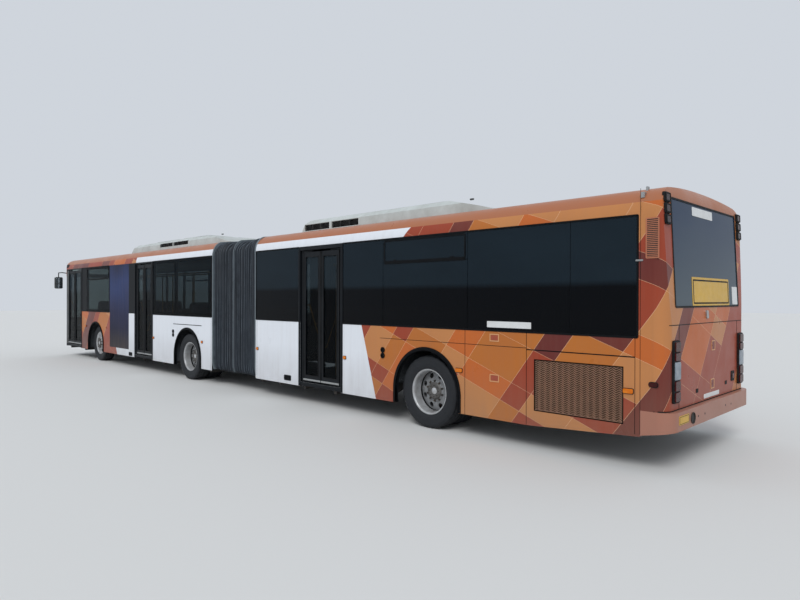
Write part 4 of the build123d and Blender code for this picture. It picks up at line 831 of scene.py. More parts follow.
def wheel_piece(node, x, sign, mid_y, disc_out, twin_reach):
    """One road wheel, or twin wheels on one hub."""
    bm = bmesh.new()
    tyre_shape(bm, x, sign, mid_y)
    if twin_reach:
        tyre_shape(bm, x, sign, mid_y - twin_reach)
    for f in bm.faces:
        f.material_index = 0
    centre = (x, sign * mid_y, TYRE_R)
    convex = disc_out > 0
    barrel = [(0.100, 0.286), (0.109, 0.300), (0.1165, 0.3045), (0.1165, 0.296), (0.108, 0.284),
              (0.098, 0.277), (0.060, 0.274), (disc_out + 0.02, 0.268)]
    if convex:
        barrel = barrel[:6] + [(0.100, 0.272), (disc_out + 0.004, 0.266)]
    lathe(bm, barrel, centre, sign, 64, [1] * 7)
    back = [(disc_out - 0.012, 0.266), (-0.09 - twin_reach, 0.276), (-0.1165 - twin_reach, 0.300),
            (-0.109 - twin_reach, 0.300), (-0.100 - twin_reach, 0.286)]
    lathe(bm, back, centre, sign, 48, [1] * 4)

    def dish(r):
        t = min(max((r - 0.15) / 0.116, 0), 1)
        return disc_out + (0.020 - 0.028 * t * t if not convex else 0.018 - 0.014 * t)
    # The dished discs of the twin wheels are a darker grey than the convex front discs.
    disc_mat = 1 if convex else 2
    holed_disc(bm, centre, sign, dish, disc_mat)
    # Hub flange, its ring of nuts, and the cap
    flange = [(dish(0.150), 0.150), (disc_out + 0.030, 0.140), (disc_out + 0.034, 0.118),
              (disc_out + 0.048, 0.112), (disc_out + 0.053, 0.086)]
    lathe(bm, flange, centre, sign, 48, [disc_mat, disc_mat, 3, 3])
    cap = [(disc_out + 0.053, 0.086), (disc_out + 0.0535, 0.066), (disc_out + 0.048, 0.056),
           (disc_out + 0.049, 0.044), (disc_out + 0.0545, 0.038), (disc_out + 0.055, 0.010),
           (disc_out + 0.055, 0.0005)]
    lathe(bm, cap, centre, sign, 40, [3, 3, 3, 5, 5, 5])
    for count, first, ring, out, radius, height in ((10, 0.5, 0.1335, 0.026, 0.0135, 0.020),
                                                    (8, 0, 0.076, 0.050, 0.007, 0.006)):
        for k in range(count):
            a = 2 * math.pi * (k + first) / count
            nut(bm, (x + ring * math.cos(a), sign * (mid_y + disc_out + out),
                     TYRE_R + ring * math.sin(a)), sign, radius, height, 4)
    # Tyre valve
    brick(bm, (x - 0.004, sign * (mid_y + disc_out + 0.02), TYRE_R - 0.262),
          (x + 0.004, sign * (mid_y + disc_out + 0.07), TYRE_R - 0.252), 0.002, 4)
    piece = new_piece(f"{node}_detail", bm, "tyre rim rim_dark hub cast cap", node)
    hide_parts(node)


twins = (1.065, -0.040, 0.33)
wheels = {"front": (1.01, 0.095, 0), "middle": twins, "rear": twins}
for axle, (mid_y, disc_out, twin) in wheels.items():
    for side, sign in (("left", 1), ("right", -1)):
        wheel_piece(f"{axle}_{side}_wheel", AXLES[axle], sign, mid_y, disc_out, twin)


# Wheel arch lips of black rubber
def arch_lips():
    width = 0.045
    # Radius and foot of each arch
    arches = {"rear": (0.556, FOOT_Z), "middle": (0.572, SKIRT_Z), "front": (0.548, SKIRT_Z)}

    def arch(x, r, low):
        bend = [math.radians(180 - 5 * k) for k in range(1, 36)]
        return ([(x - r, low), (x - r, TYRE_R)]
                + [(x + r * math.cos(turn), TYRE_R + r * math.sin(turn)) for turn in bend]
                + [(x + r, TYRE_R), (x + r, low)])
    for axle, (r, low) in arches.items():
        bm = bmesh.new()
        inner, outer = arch(AXLES[axle], r, low), arch(AXLES[axle], r + width, low)
        for sign in (1, -1):
            band(bm, outer, inner, on_side(sign), 0.010, closed=False, base=-0.004)
            band(bm, [((a * 3 + c) / 4, (b * 3 + d) / 4) for (a, b), (c, d) in zip(inner, outer)],
                 inner, on_side(sign), 0.018, closed=False, base=-0.02)
        body = "rear_section" if axle == "rear" else "front_section"
        new_piece(f"arch_lip_{axle}", bm, "gasket", body)


arch_lips()


# The radiator grille: zigzag bars with uprights in a frame, over a near-black sheet of painted
# shade that hides the core behind
def grille_piece():
    low_x, high_x, low_z, high_z = -8.651, -7.606, 0.461, 1.044
    face = 1.2475
    bm = bmesh.new()
    columns, rows = 28, 24
    sway, bar = 0.0115, 0.0078
    step, pitch = (high_x - low_x - 0.02) / columns, (high_z - low_z - 0.02) / rows
    for row in range(-1, rows + 1):
        line = []
        for col in range(columns + 1):
            z = low_z + 0.01 + pitch * (row + 0.5) + (sway if col % 2 else -sway)
            line.append((low_x + 0.01 + step * col, min(max(z, low_z + 0.004), high_z - 0.004)))
        upper = [(a, min(b + bar, high_z - 0.002)) for a, b in line]
        band(bm, upper, line, on_side(1, face - 0.016), 0.016, 0, closed=False)
    for col in range(7, columns, 7):
        x = low_x + 0.01 + step * col
        brick(bm, (x - 0.0015, face - 0.022, low_z + 0.004),
              (x + 0.0015, face - 0.0155, high_z - 0.004), 0, 1)
    border(bm, low_x, high_x, low_z, high_z, 0.012, 0.006, on_side(1, face - 0.026), 0.0275, 1)
    # Radiator core behind, then a near-black sheet across the whole opening in front of it: painted
    # shade behind the bars
    brick(bm, (low_x + 0.005, 1.200, low_z + 0.02), (high_x - 0.005, 1.2185, high_z - 0.16),
          0.002, 1)
    brick(bm, (low_x + 0.002, 1.2205, low_z + 0.002), (high_x - 0.002, 1.2225, high_z - 0.002),
          0, 1)
    piece = new_piece("radiator_grille_mesh", bm, "grille hole", "rear_section")
    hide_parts("radiator_grille")


grille_piece()


# Small parts on the side walls
def trim_pieces():
    left, off = on_side(1), on_side(-1)
    rear, front = bmesh.new(), bmesh.new()

    def seam(bm, place, x0, x1, z0, z1, width=0.005):
        """A thin dark line, upright or level."""
        dx, dz = (width / 2, 0) if x0 == x1 else (0, width / 2)
        plate(bm, [(x0 - dx, z0 - dz), (x1 - dx, z1 - dz), (x1 + dx, z1 + dz), (x0 + dx, z0 + dz)],
              place, 0.0012, soft=0.0005)

    # Panel seams on both sides, then those of the off side alone
    for place in (left, off):
        seam(rear, place, REAR_SEAM + 0.05, REAR_SEAM + 0.05, 0.38, 1.344)
        seam(rear, place, REAR_SEAM - 0.002, REAR_SEAM - 0.002, 0.38, 2.83, 0.004)
        for x in (-7.505, -6.610):
            seam(rear, place, x, x, 0.374, 1.344, 0.006)
        seam(rear, place, -8.770, -7.508, 1.148, 1.148, 0.012)
        seam(rear, place, -7.502, -5.067, 1.165, 1.165, 0.006)
        seam(rear, place, REAR_END - 0.04, REAR_END - 0.04, 0.34, 1.344, 0.004)
        seam(front, place, FRONT_END + 0.04, FRONT_END + 0.04, 0.29, 1.344, 0.004)
        seam(front, place, 0.225, 1.511, 1.160, 1.160, 0.014)
        seam(front, place, FRONT_SEAM - 0.002, FRONT_SEAM - 0.002, 0.64, 2.8, 0.004)
    for x in (0.20, 1.65, 2.92, 4.18, 5.44, 7.02):
        seam(front, off, x, x, 0.29, 1.344)
    # Rubber round each row of side windows
    for bm, panes in ((rear, ((-8.795, -4.240, 1), (-3.115, -1.820, 1), (-8.795, -1.820, -1))),
                      (front, ((-0.195, 2.560, 1), (5.255, 7.330, 1), (-0.195, 8.60, -1)))):
        for x0, x1, sign in panes:
            place = on_side(sign, 1.2485)
            for z0, z1 in ((SILL_Z - 0.010, SILL_Z + 0.012), (COVE_Z - 0.014, COVE_Z + 0.006)):
                plate(bm, square(x0, x1, z0, z1), place, 0.006)
            for x in (x0, x1):
                plate(bm, square(x - 0.010, x + 0.010, SILL_Z, COVE_Z), place, 0.006)
    # Hopper windows: a frame, a dividing bar and two latches each
    for bm, sign, places in (
            (rear, 1, [(REAR_SEAM + 2.203, REAR_SEAM + 3.672)]), (front, 1, [(5.290, 6.915)]),
            (rear, -1, [(-8.025, -6.677), (-6.617, -5.156), (-5.096, -3.530)]),
            (front, -1, [(-0.165, 1.40), (1.46, 2.96), (3.02, 4.52), (4.58, 6.08)])):
        place = on_side(sign, GLASS_Y)
        for x0, x1 in places:
            plate(bm, square(x0 + 0.006, x1 - 0.006, 2.212, 2.230), place, 0.007)
            border(bm, x0, x1, 2.232, 2.548, 0.022, 0.035, place, 0.006)
            for x in (x0 + 0.22, x1 - 0.22):
                plate(bm, rounded(x - 0.03, x + 0.03, 2.252, 2.268, 0.005, 2), place, 0.009)
    # Dark square recesses at the foot of the panels, drawn as dark plates standing proud: the dark
    # is painted shade
    for bm, x, z in ((rear, -2.801, 0.385), (front, 3.842, 0.345)):
        border(bm, *about(x, z, 0.10, 0.045), 0.014, 0.02, left, 0.006)
        plate(bm, rounded(*about(x, z, 0.085, 0.030), 0.01), left, 0.002)
        plate(bm, rounded(*about(x, z, 0.070, 0.006), 0.004, 2), left, 0.008)
    # Twin round vents: a ring round a flat dark disc, painted shade in the opening
    for bm, x in ((rear, -5.128), (front, 1.505)):
        for z in (0.918, 0.998):
            hole = circle(x, z, 0.0248, 24)
            band(bm, circle(x, z, 0.040, 24), hole, left, 0.012)
            plate(bm, hole, left, 0.003)
    new_piece("side_trim_rear", rear, "gasket", "rear_section")
    new_piece("side_trim_front", front, "gasket", "front_section")

    # Flush latches with their pale surrounds
    bm = bmesh.new()
    for x, z in ((-7.057, 1.262), (-7.059, 0.778)):
        border(bm, *about(x, z, 0.068, 0.046), 0.012, 0.008, left, 0.004)
        plate(bm, rounded(*about(x, z, 0.052, 0.030), 0.005, 2), left, 0.0025, 1)
        plate(bm, rounded(*about(x, z, 0.030, 0.012), 0.005, 2), left, 0.006, 1)
    new_piece("side_latches", bm, "tan terracotta", "rear_section")

    # Side marker lamps
    markers = {
        "rear": [(x, z, sign, size) for sign in (1, -1) for x, z, size in (
            (-6.515, 0.826, 2), (-8.702, 0.803, 2), (-4.292, 0.829, 1), (-1.868, 0.822, 1))],
        "front": [(0.20, 0.829, 1, 1), (2.510, 0.808, 1, 1), (6.996, 0.925, 1, 1),
                  (0.10, 0.829, -1, 1), (2.5, 0.808, -1, 1), (4.6, 0.808, -1, 1),
                  (7.2, 0.808, -1, 1)]}
    for section, rows in markers.items():
        bm = bmesh.new()
        for x, z, sign, size in rows:
            w, h = (0.052, 0.024) if size == 2 else (0.030, 0.022)
            place = on_side(sign)
            plate(bm, rounded(*about(x, z, w + 0.006, h + 0.006), 0.014), place, 0.006, 1)
            plate(bm, rounded(*about(x, z, w, h), 0.012), place, 0.018, 0, 0.006, 0.005)
        if section == "rear":
            for sign in (1, -1):
                place = on_side(sign)
                plate(bm, rounded(-9.005, -8.905, 0.862, 0.918, 0.026), place, 0.005, 1)
                plate(bm, rounded(-8.998, -8.912, 0.869, 0.911, 0.020), place, 0.016, 2, 0.005,
                      0.005)
        new_piece(f"side_markers_{section}", bm, "amber rubber red", f"{section}_section")

    # Blank white label on the glass and the small clip at the band's rear end
    bm = bmesh.new()
    plate(bm, rounded(REAR_SEAM + 1.255, REAR_SEAM + 1.872, 1.385, 1.459, 0.006, 2),
          on_side(1, GLASS_Y), 0.0025, soft=0.0008)
    plate(bm, rounded(-8.850, -8.775, 2.106, 2.124, 0.004, 2), on_side(1, 1.250), 0.010, 1)
    new_piece("side_label", bm, "white alloy", "rear_section")

    # Corner louvre: a pale frame with slats, over a dark plate that is painted shade between them
    bm = bmesh.new()
    border(bm, -9.008, -8.875, 2.129, 2.529, 0.012, 0.01, left, 0.006)
    plate(bm, rounded(-8.998, -8.885, 2.139, 2.519, 0.004, 2), left, 0.001, 1)
    for k in range(20):
        z = 2.146 + 0.0185 * k
        brick(bm, (-8.997, 1.2505, z), (-8.886, 1.2555, z + 0.0095), 0.0015)
    new_piece("corner_louvre", bm, "copper vent", "rear_section")


trim_pieces()


# The tail: hatch seams, latches, sign, labels, lamps, plate and exhaust
def tail_pieces():
    bm = bmesh.new()

    def run(y0, z0, y1, z1, width, place=on_tail, depth=0.0015, count=24):
        """A narrow strip along the tail's curved skin."""
        line = [(y0 + (y1 - y0) * k / count, z0 + (z1 - z0) * k / count) for k in range(count + 1)]
        level = abs(y1 - y0) > abs(z1 - z0)
        da, db = (0, width / 2) if level else (width / 2, 0)
        band(bm, [(a + da, b + db) for a, b in line], [(a - da, b - db) for a, b in line], place,
             depth, closed=False, base=-0.001)
    run(1.16, 1.471, -1.16, 1.471, 0.008, count=60)
    run(0.930, 1.467, 0.930, 0.632, 0.008)
    run(-0.930, 1.467, -0.930, 0.632, 0.008)
    run(1.2495, 0.626, -1.2495, 0.626, 0.013, count=200)
    # Window rubber
    border(bm, -1.018, 1.018, 1.642, 2.753, 0.018, 0.03, on_tail, 0.006, base=-0.012)
    # Small dark recesses over the bumper, drawn as dark plates: the dark is painted shade
    for y, z in ((0.421, 0.759), (-0.527, 0.757)):
        plate(bm, rounded(*about(y, z, 0.035, 0.022), 0.006, 2), on_tail, 0.003)
    new_piece("tail_trim", bm, "rubber", "rear_section")

    bm = bmesh.new()
    for y, z in ((-0.085, 1.215), (-0.062, 0.790)):
        border(bm, *about(y, z, 0.055, 0.055), 0.010, 0.008, on_tail, 0.004)
        plate(bm, rounded(*about(y, z, 0.043, 0.043), 0.004, 2), on_tail, 0.002, 1)
        plate(bm, rounded(*about(y, z, 0.028, 0.012), 0.005, 2), on_tail, 0.006, 1)
    new_piece("tail_latches", bm, "tan maroon", "rear_section")

    bm = bmesh.new()
    for label in ((-0.286, 0.212, 0.650, 0.698, 0.006), (-0.985, -0.792, 1.668, 1.880, 0.008),
                  (-0.20, 0.43, 2.620, 2.715, 0.008)):
        plate(bm, rounded(*label, 2), on_tail, 0.002, soft=0.0008)
    plate(bm, rounded(0.100, 0.156, 1.52, 1.61, 0.012, 2), on_tail, 0.016, 1)
    plate(bm, rounded(-0.83, -0.71, 0.755, 0.875, 0.012, 2), on_tail, 0.006, 3)
    plate(bm, rounded(-0.80, -0.74, 0.785, 0.845, 0.012, 2), on_tail, 0.012, 2)
    new_piece("tail_labels", bm, "white alloy smoked rubber", "rear_section")

    # Blank yellow sign with its dark border, on the window
    bm = bmesh.new()
    plate(bm, rounded(-0.67, 0.53, 1.655, 1.965, 0.012), on_tail, 0.003)
    border(bm, -0.645, 0.505, 1.680, 1.940, 0.016, 0.012, on_tail, 0.0045, 1, 0.001)
    new_piece("tail_sign", bm, "yellow rubber", "rear_section")

    # Blank number plate, exhaust end and bolt holes in the bumper; the exhaust's mouth and the bolt
    # holes are flat dark discs of painted shade
    bm = bmesh.new()
    plate(bm, rounded(0.825, 1.085, 0.492, 0.582, 0.012), on_bumper, 0.004)
    border(bm, 0.833, 1.077, 0.500, 0.574, 0.004, 0.01, on_bumper, 0.0055, 1, 0.001)
    mid_y, mid_z = 0.715, 0.520
    hole = circle(mid_y, mid_z, 0.05104, 32)
    band(bm, circle(mid_y, mid_z, 0.058, 32), hole, on_bumper, 0.010, 2)
    plate(bm, hole, on_bumper, 0.001, 1)
    for y, z in ((0.555, 0.517), (0.357, 0.518), (-0.319, 0.524), (-0.519, 0.516)):
        plate(bm, circle(y, z, 0.012, 12), on_bumper, 0.0015, 1, soft=0.001)
    new_piece("bumper_fittings", bm, "yellow vent cast", "rear_section")

    # Lamps: a tall cluster on each side, and a stack of three by each upper corner of the window
    bm = bmesh.new()

    def proud(base):
        return lambda a, b, out: (tail_skin(a, b, base + out), a, b)
    for sign in (1, -1):
        y0, y1 = pair(sign, 0.950, 1.115)
        plate(bm, rounded(y0, y1, 0.700, 1.320, 0.020), proud(0), 0.022, 3, -0.012, 0.006)
        y0, y1 = pair(sign, 0.964, 1.099)
        for z0, z1, mat in ((1.208, 1.305, 2), (1.118, 1.200, 0), (0.930, 1.108, 1),
                            (0.820, 0.920, 0), (0.715, 0.810, 0)):
            plate(bm, rounded(y0, y1, z0, z1, 0.014), proud(0.022), 0.012, mat, soft=0.006)
        y0, y1 = pair(sign, 1.058, 1.192)
        for z0 in (2.464, 2.573, 2.682):
            plate(bm, rounded(y0, y1, z0, z0 + 0.104, 0.018), proud(0), 0.016, 3, -0.012, 0.004)
            border(bm, y0 + 0.008, y1 - 0.008, z0 + 0.008, z0 + 0.096, 0.010, 0.014,
                   proud(0.016), 0.010, 3)
            plate(bm, rounded(y0 + 0.019, y1 - 0.019, z0 + 0.019, z0 + 0.085, 0.010), proud(0.016),
                  0.007, 4, soft=0.004)
    lamps = new_piece("rear_lamp_units", bm, "red clear smoked rubber deep_red", "rear_section")
    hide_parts("rear_lamps")

    # A small bracket on the roof edge over the rear seam
    bm = bmesh.new()
    brick(bm, (-8.84, 1.085, 2.74), (-8.80, 1.205, 2.80), 0.004)
    brick(bm, (-8.83, 1.05, 2.79), (-8.81, 1.10, 2.87), 0.004)
    new_piece("roof_bracket", bm, "alloy", "rear_section")


tail_pieces()


def tube(bm, points, radius, mat=0, sides=10):
    """A round rail along straight runs, with mitred corners."""
    points = [Vector(p) for p in points]
    rows = []
    for k, p in enumerate(points):
        before = (p - points[k - 1]).normalized() if k else (points[1] - p).normalized()
        after = (points[k + 1] - p).normalized() if k < len(points) - 1 else before
        along = (before + after).normalized()
        across = along.cross(Vector((0, 0, 1)))
        if across.length < 0.1:
            across = along.cross(Vector((0, 1, 0)))
        across.normalize()
        other = along.cross(across).normalized()
        rows.append([bm.verts.new(p + radius * (across * c + other * s))
                     for c, s in circle(0, 0, 1, sides)])
    for a, b in zip(rows, rows[1:]):
        quads(bm, a, b, mat)
    for row in (rows[0], rows[-1]):
        bm.faces.new(row).material_index = mat


# Doorways and leaves: surrounds, sills, seals and grab rails
def door_pieces():
    doors = {"rear": (-4.197, -3.158, 2.509, "rear_section"),
             "middle": (2.601, 3.556, 2.540, "front_section"),
             "front": (7.373, 8.600, 2.548, "front_section")}
    low, high, place = FOOT_Z, COVE_Z + 0.002, on_side(1)
    outside = on_side(1, 1.230)
    for door, (x0, x1, head, body) in doors.items():
        bm = bmesh.new()
        # Surround: jambs and header
        for a0, a1 in ((x0 - 0.045, x0 - 0.002), (x1 + 0.002, x1 + 0.045)):
            plate(bm, square(a0, a1, low, high), place, 0.006)
            plate(bm, square(a0 + 0.012, a0 + 0.022, low + 0.01, COVE_Z - 0.01), place, 0.010, 0,
                  0.004)
        plate(bm, square(x0 - 0.045, x1 + 0.045, head + 0.003, high), place, 0.007)
        # Silver sill: nosing on the step's edge with its tread
        brick(bm, (x0 + 0.004, 1.244, 0.318), (x1 - 0.004, 1.252, 0.356), 0.002, 2)
        brick(bm, (x0 + 0.004, 1.238, 0.3548), (x1 - 0.004, 1.252, 0.3578), 0.001, 1)
        for k in range(3):
            y = 1.2405 + 0.004 * k
            brick(bm, (x0 + 0.01, y, 0.3575), (x1 - 0.01, y + 0.002, 0.3588), 0, 2)
        new_piece(f"{door}_doorway_trim", bm, "door alloy rubber", body)
        for end, away in (("front", 1), ("rear", -1)):
            # Each leaf: glass rubber, a seal up each edge, foot strips and a grab rail inside
            (lx0, _, lz0), (lx1, _, lz1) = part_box(f"{door}_door_{end}_leaf")
            bm = bmesh.new()
            meeting, jamb = (lx0, lx1) if away > 0 else (lx1, lx0)
            border(bm, lx0 + 0.050, lx1 - 0.050, lz0 + 0.078, lz1 - 0.068, 0.014, 0.02, outside,
                   0.004, 0)
            for edge, width in ((meeting, away * 0.016), (jamb, -away * 0.014)):
                a0, a1 = sorted((edge, edge + width))
                plate(bm, square(a0, a1, lz0 + 0.004, lz1 - 0.004), outside, 0.005)
            brick(bm, (lx0 + 0.004, 1.1985, lz0 - 0.006), (lx1 - 0.004, 1.2275, lz0 + 0.002),
                  0.003, 0)
            plate(bm, square(lx0 + 0.002, lx1 - 0.002, lz0 + 0.002, lz0 + 0.030), outside, 0.006, 2)
            low_x, high_x = meeting + away * 0.055, jamb - away * 0.075
            tube(bm, [(high_x, 1.196, 1.62), (high_x, 1.160, 1.62), (low_x, 1.160, 0.95),
                      (low_x, 1.196, 0.95)], 0.013, 1)
            new_piece(f"{door}_door_{end}_leaf_trim", bm, "rubber rail alloy",
                      f"{door}_door_{end}_leaf")


door_pieces()


# Seats: moquette pads inflated as cloth, on grey shells and steel legs
def pad_form(length, width, thick, welt_z, voxel=0.017):
    """One upholstery pad, back edge at 0 and lying on its base: vertices, faces and welt."""
    bm = bmesh.new()
    brick(bm, (0.006, -width / 2 + 0.006, 0.0), (length - 0.006, width / 2 - 0.006, thick * 0.8),
          thick * 0.30, 0, 3)
    mesh = bpy.data.meshes.new("pad_start")
    bm.to_mesh(mesh)
    bm.free()
    ob = bpy.data.objects.new("pad_start", mesh)
    bpy.context.collection.objects.link(ob)
    remesh = ob.modifiers.new("remesh", "REMESH")
    remesh.mode = "VOXEL"
    remesh.voxel_size = voxel
    shape = bpy.data.meshes.new_from_object(ob.evaluated_get(bpy.context.evaluated_depsgraph_get()))
    ob.modifiers.clear()
    ob.data = shape
    start = [v.co.copy() for v in shape.vertices]
    cloth = ob.modifiers.new("cloth", "CLOTH")
    cloth.settings.use_pressure = True
    cloth.settings.uniform_pressure_force = 4.0
    cloth.settings.quality = 5
    cloth.settings.effector_weights.gravity = 0.0
    for step in range(1, 21):
        bpy.context.scene.frame_set(step)
    done = ob.evaluated_get(bpy.context.evaluated_depsgraph_get())
    moved = [v.co.copy() for v in done.data.vertices]
    bpy.context.scene.frame_set(1)
    points = []
    cap = thick * 0.35
    for a, b in zip(start, moved):
        shift = b - a
        if shift.length > cap:
            shift *= cap / shift.length
        p = a + shift
        # Flat where it rests on the shell, and two sewn channels across the face
        p.z = max(p.z, 0.0)
        if p.z > thick * 0.5:
            for line in (0.36, 0.68):
                away = abs(p.x - length * line) / (voxel * 0.9)
                p.z -= 0.006 * max(1 - away, 0)
        points.append(p)
    faces = [tuple(p.vertices) for p in shape.polygons]
    bpy.data.objects.remove(ob)
    return points, faces, (length, width, welt_z)


def lay(bm, form, place):
    """Copy a form and its welt into bm, each point through place."""
    points, faces, welt = form
    made = [bm.verts.new(place(p)) for p in points]
    for face in faces:
        bm.faces.new([made[k] for k in face]).smooth = True
    piping(bm, *welt, place)


def piping(bm, length, width, height, place):
    """The welt sewn round a pad's upper edge."""
    outline = rounded(0.004, length - 0.004, -width / 2 + 0.004, width / 2 - 0.004, 0.022, 3)
    rows = []
    for k, (a, b) in enumerate(outline):
        na, nb = outline[(k + 1) % len(outline)]
        pa, pb = outline[k - 1]
        away = Vector((nb - pb, pa - na, 0)).normalized()
        rows.append([bm.verts.new(place(Vector((a, b, height)) + 0.0035 * (
            away * c + Vector((0, 0, 1)) * s))) for c, s in circle(0, 0, 1, 5)])
    for k in range(len(rows)):
        quads(bm, rows[k - 1], rows[k], 1)


def shell(bm, to_world, half, rise):
    """A moulded seat shell: pan and back in one, thinning at its edges."""
    line = [(0.426, 0.008), (0.30, 0.006), (0.10, 0.007), (0.045, 0.012), (0.018, 0.030),
            (-0.004, 0.065), (-0.058, 0.300), (-0.112, 0.535), (-0.117, 0.552)]
    line = [(u, v * rise) for u, v in line]
    rows = []
    for share, t in ((-1, 0.0008), (-0.985, 0.004), (-0.93, 0.006), (-0.75, 0.006), (0.75, 0.006),
                     (0.93, 0.006), (0.985, 0.004), (1, 0.0008)):
        w = share * half
        cut = max(abs(share) - 0.75, 0) / 0.25
        upper, lower = [], []
        for k, (u, v) in enumerate(line):
            before, after = line[max(k - 1, 0)], line[min(k + 1, len(line) - 1)]
            du, dv = after[0] - before[0], after[1] - before[1]
            size = math.hypot(du, dv)
            nu, nv = dv / size, -du / size
            if k >= len(line) - 2:
                back = 0.030 * cut ** 2
                u, v = u - du / size * back, v - dv / size * back
            if k == 0:
                u -= 0.020 * cut ** 2
            thin = t * (0.5 if k in (0, len(line) - 1) else 1)
            upper.append(bm.verts.new(to_world(u + nu * thin, w, v + nv * thin)))
            lower.append(bm.verts.new(to_world(u - nu * thin, w, v - nv * thin)))
        rows.append(upper + lower[::-1])
    for a, b in zip(rows, rows[1:]):
        quads(bm, a, b)
    for row in (rows[0], rows[-1]):
        for k in range(len(row) // 2 - 1):
            bm.faces.new((row[k], row[k + 1], row[-2 - k], row[-1 - k]))


CUSHION = pad_form(0.400, 0.412, 0.058, 0.046)
BACKREST = pad_form(0.445, 0.404, 0.040, 0.030)


def leaning(back, rise):
    """The directions up a seat's back and out of its face."""
    lean = math.atan2(back, rise)
    c, s = math.cos(lean), math.sin(lean)
    return Vector((-s, 0, c)), Vector((c, 0, s))


def double_seat(pads, hard, sign, seat_x, base_z, facing, on_box):
    """Two places side by side: pads go into one bmesh, shells, legs and handle into the other."""
    cushion_z = base_z if on_box else base_z + 0.34
    middle = sign * 0.74

    def to_world(u, w, v):
        return (seat_x + facing * u, middle + w, cushion_z + v)
    along, face = leaning(0.130, 0.498)
    for half in (-0.22, 0.22):
        def on_pan(p):
            return to_world(0.024 + p.x, half + p.y, 0.014 + p.z)

        def on_back(p):
            q = Vector((0.006, 0, 0.085)) + along * p.x + face * p.z
            return to_world(q.x, half + p.y, q.z)
        lay(pads, CUSHION, on_pan)
        lay(pads, BACKREST, on_back)

        def half_shell(u, w, v):
            return to_world(u, half + w, v)
        shell(hard, half_shell, 0.209, 1.0)
    # Handle at the aisle side of the back
    inner = -sign * 0.40
    outer = inner + sign * 0.17
    tube(hard, [to_world(-0.095, inner, 0.47), to_world(-0.112, inner, 0.575),
                to_world(-0.114, outer, 0.575), to_world(-0.095, outer, 0.47)], 0.011, 1, 8)
    # Bearer bars under both places, and the leg with its flange and bolts
    if not on_box:
        for u in (0.10, 0.33):
            brick(hard, to_world(u - 0.018, -0.39, -0.022), to_world(u + 0.018, 0.39, 0.002),
                  0.004, 2)
        foot = base_z - cushion_z
        brick(hard, to_world(0.155, -0.028, foot + 0.008), to_world(0.265, 0.028, -0.016),
              0.010, 2, 2)
        brick(hard, to_world(0.120, -0.048, foot), to_world(0.300, 0.048, foot + 0.010), 0.003, 2)
        for u in (0.135, 0.285):
            for w in (-0.034, 0.034):
                x, y, z = to_world(u, w, foot + 0.010)
                brick(hard, (x - 0.007, y - 0.007, z), (x + 0.007, y + 0.007, z + 0.006), 0.002, 3)


def seat_pieces():
    # Side, place along the section and height of the floor under each double seat
    floor_z = 0.355
    rows = {
        "rear": [(sign, station, deck_z)
                 for station, deck_z in ((0.560, 1.0), (1.330, 1.0), (3.930, 0.620))
                 for sign in (1, -1)] + [(1, 6.650, floor_z)]
                + [(-1, station, floor_z) for station in (5.000, 5.790, 6.580)],
        "front": [(1, station, floor_z) for station in (1.858, 4.128, 4.898)]
                 + [(-1, 1.858 + 0.77 * k, floor_z) for k in range(5)]}
    boxes = {"rear": (3.195,), "front": (1.058, 6.438)}
    for section, start in (("rear", REAR_X), ("front", FRONT_END)):
        hard = bmesh.new()
        places = [(*row, 1, False) for row in rows[section]]
        for station in boxes[section]:
            for sign in (1, -1):
                places += [(sign, station + facing * 0.14, 1.08, facing, True)
                           for facing in (1, -1)]
        body = f"{section}_section"
        for k, (sign, station, base_z, facing, on_box) in enumerate(places):
            pads = bmesh.new()
            double_seat(pads, hard, sign, start + station, base_z, facing, on_box)
            ob = new_piece(f"{section}_seat_{k + 1}_pads", pads, "seat piping", body)
            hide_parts(f"{section}_seats")
        ob = new_piece(f"{section}_seat_frames", hard, "shell rail leg alloy", body)
        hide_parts(f"{section}_seats")


seat_pieces()


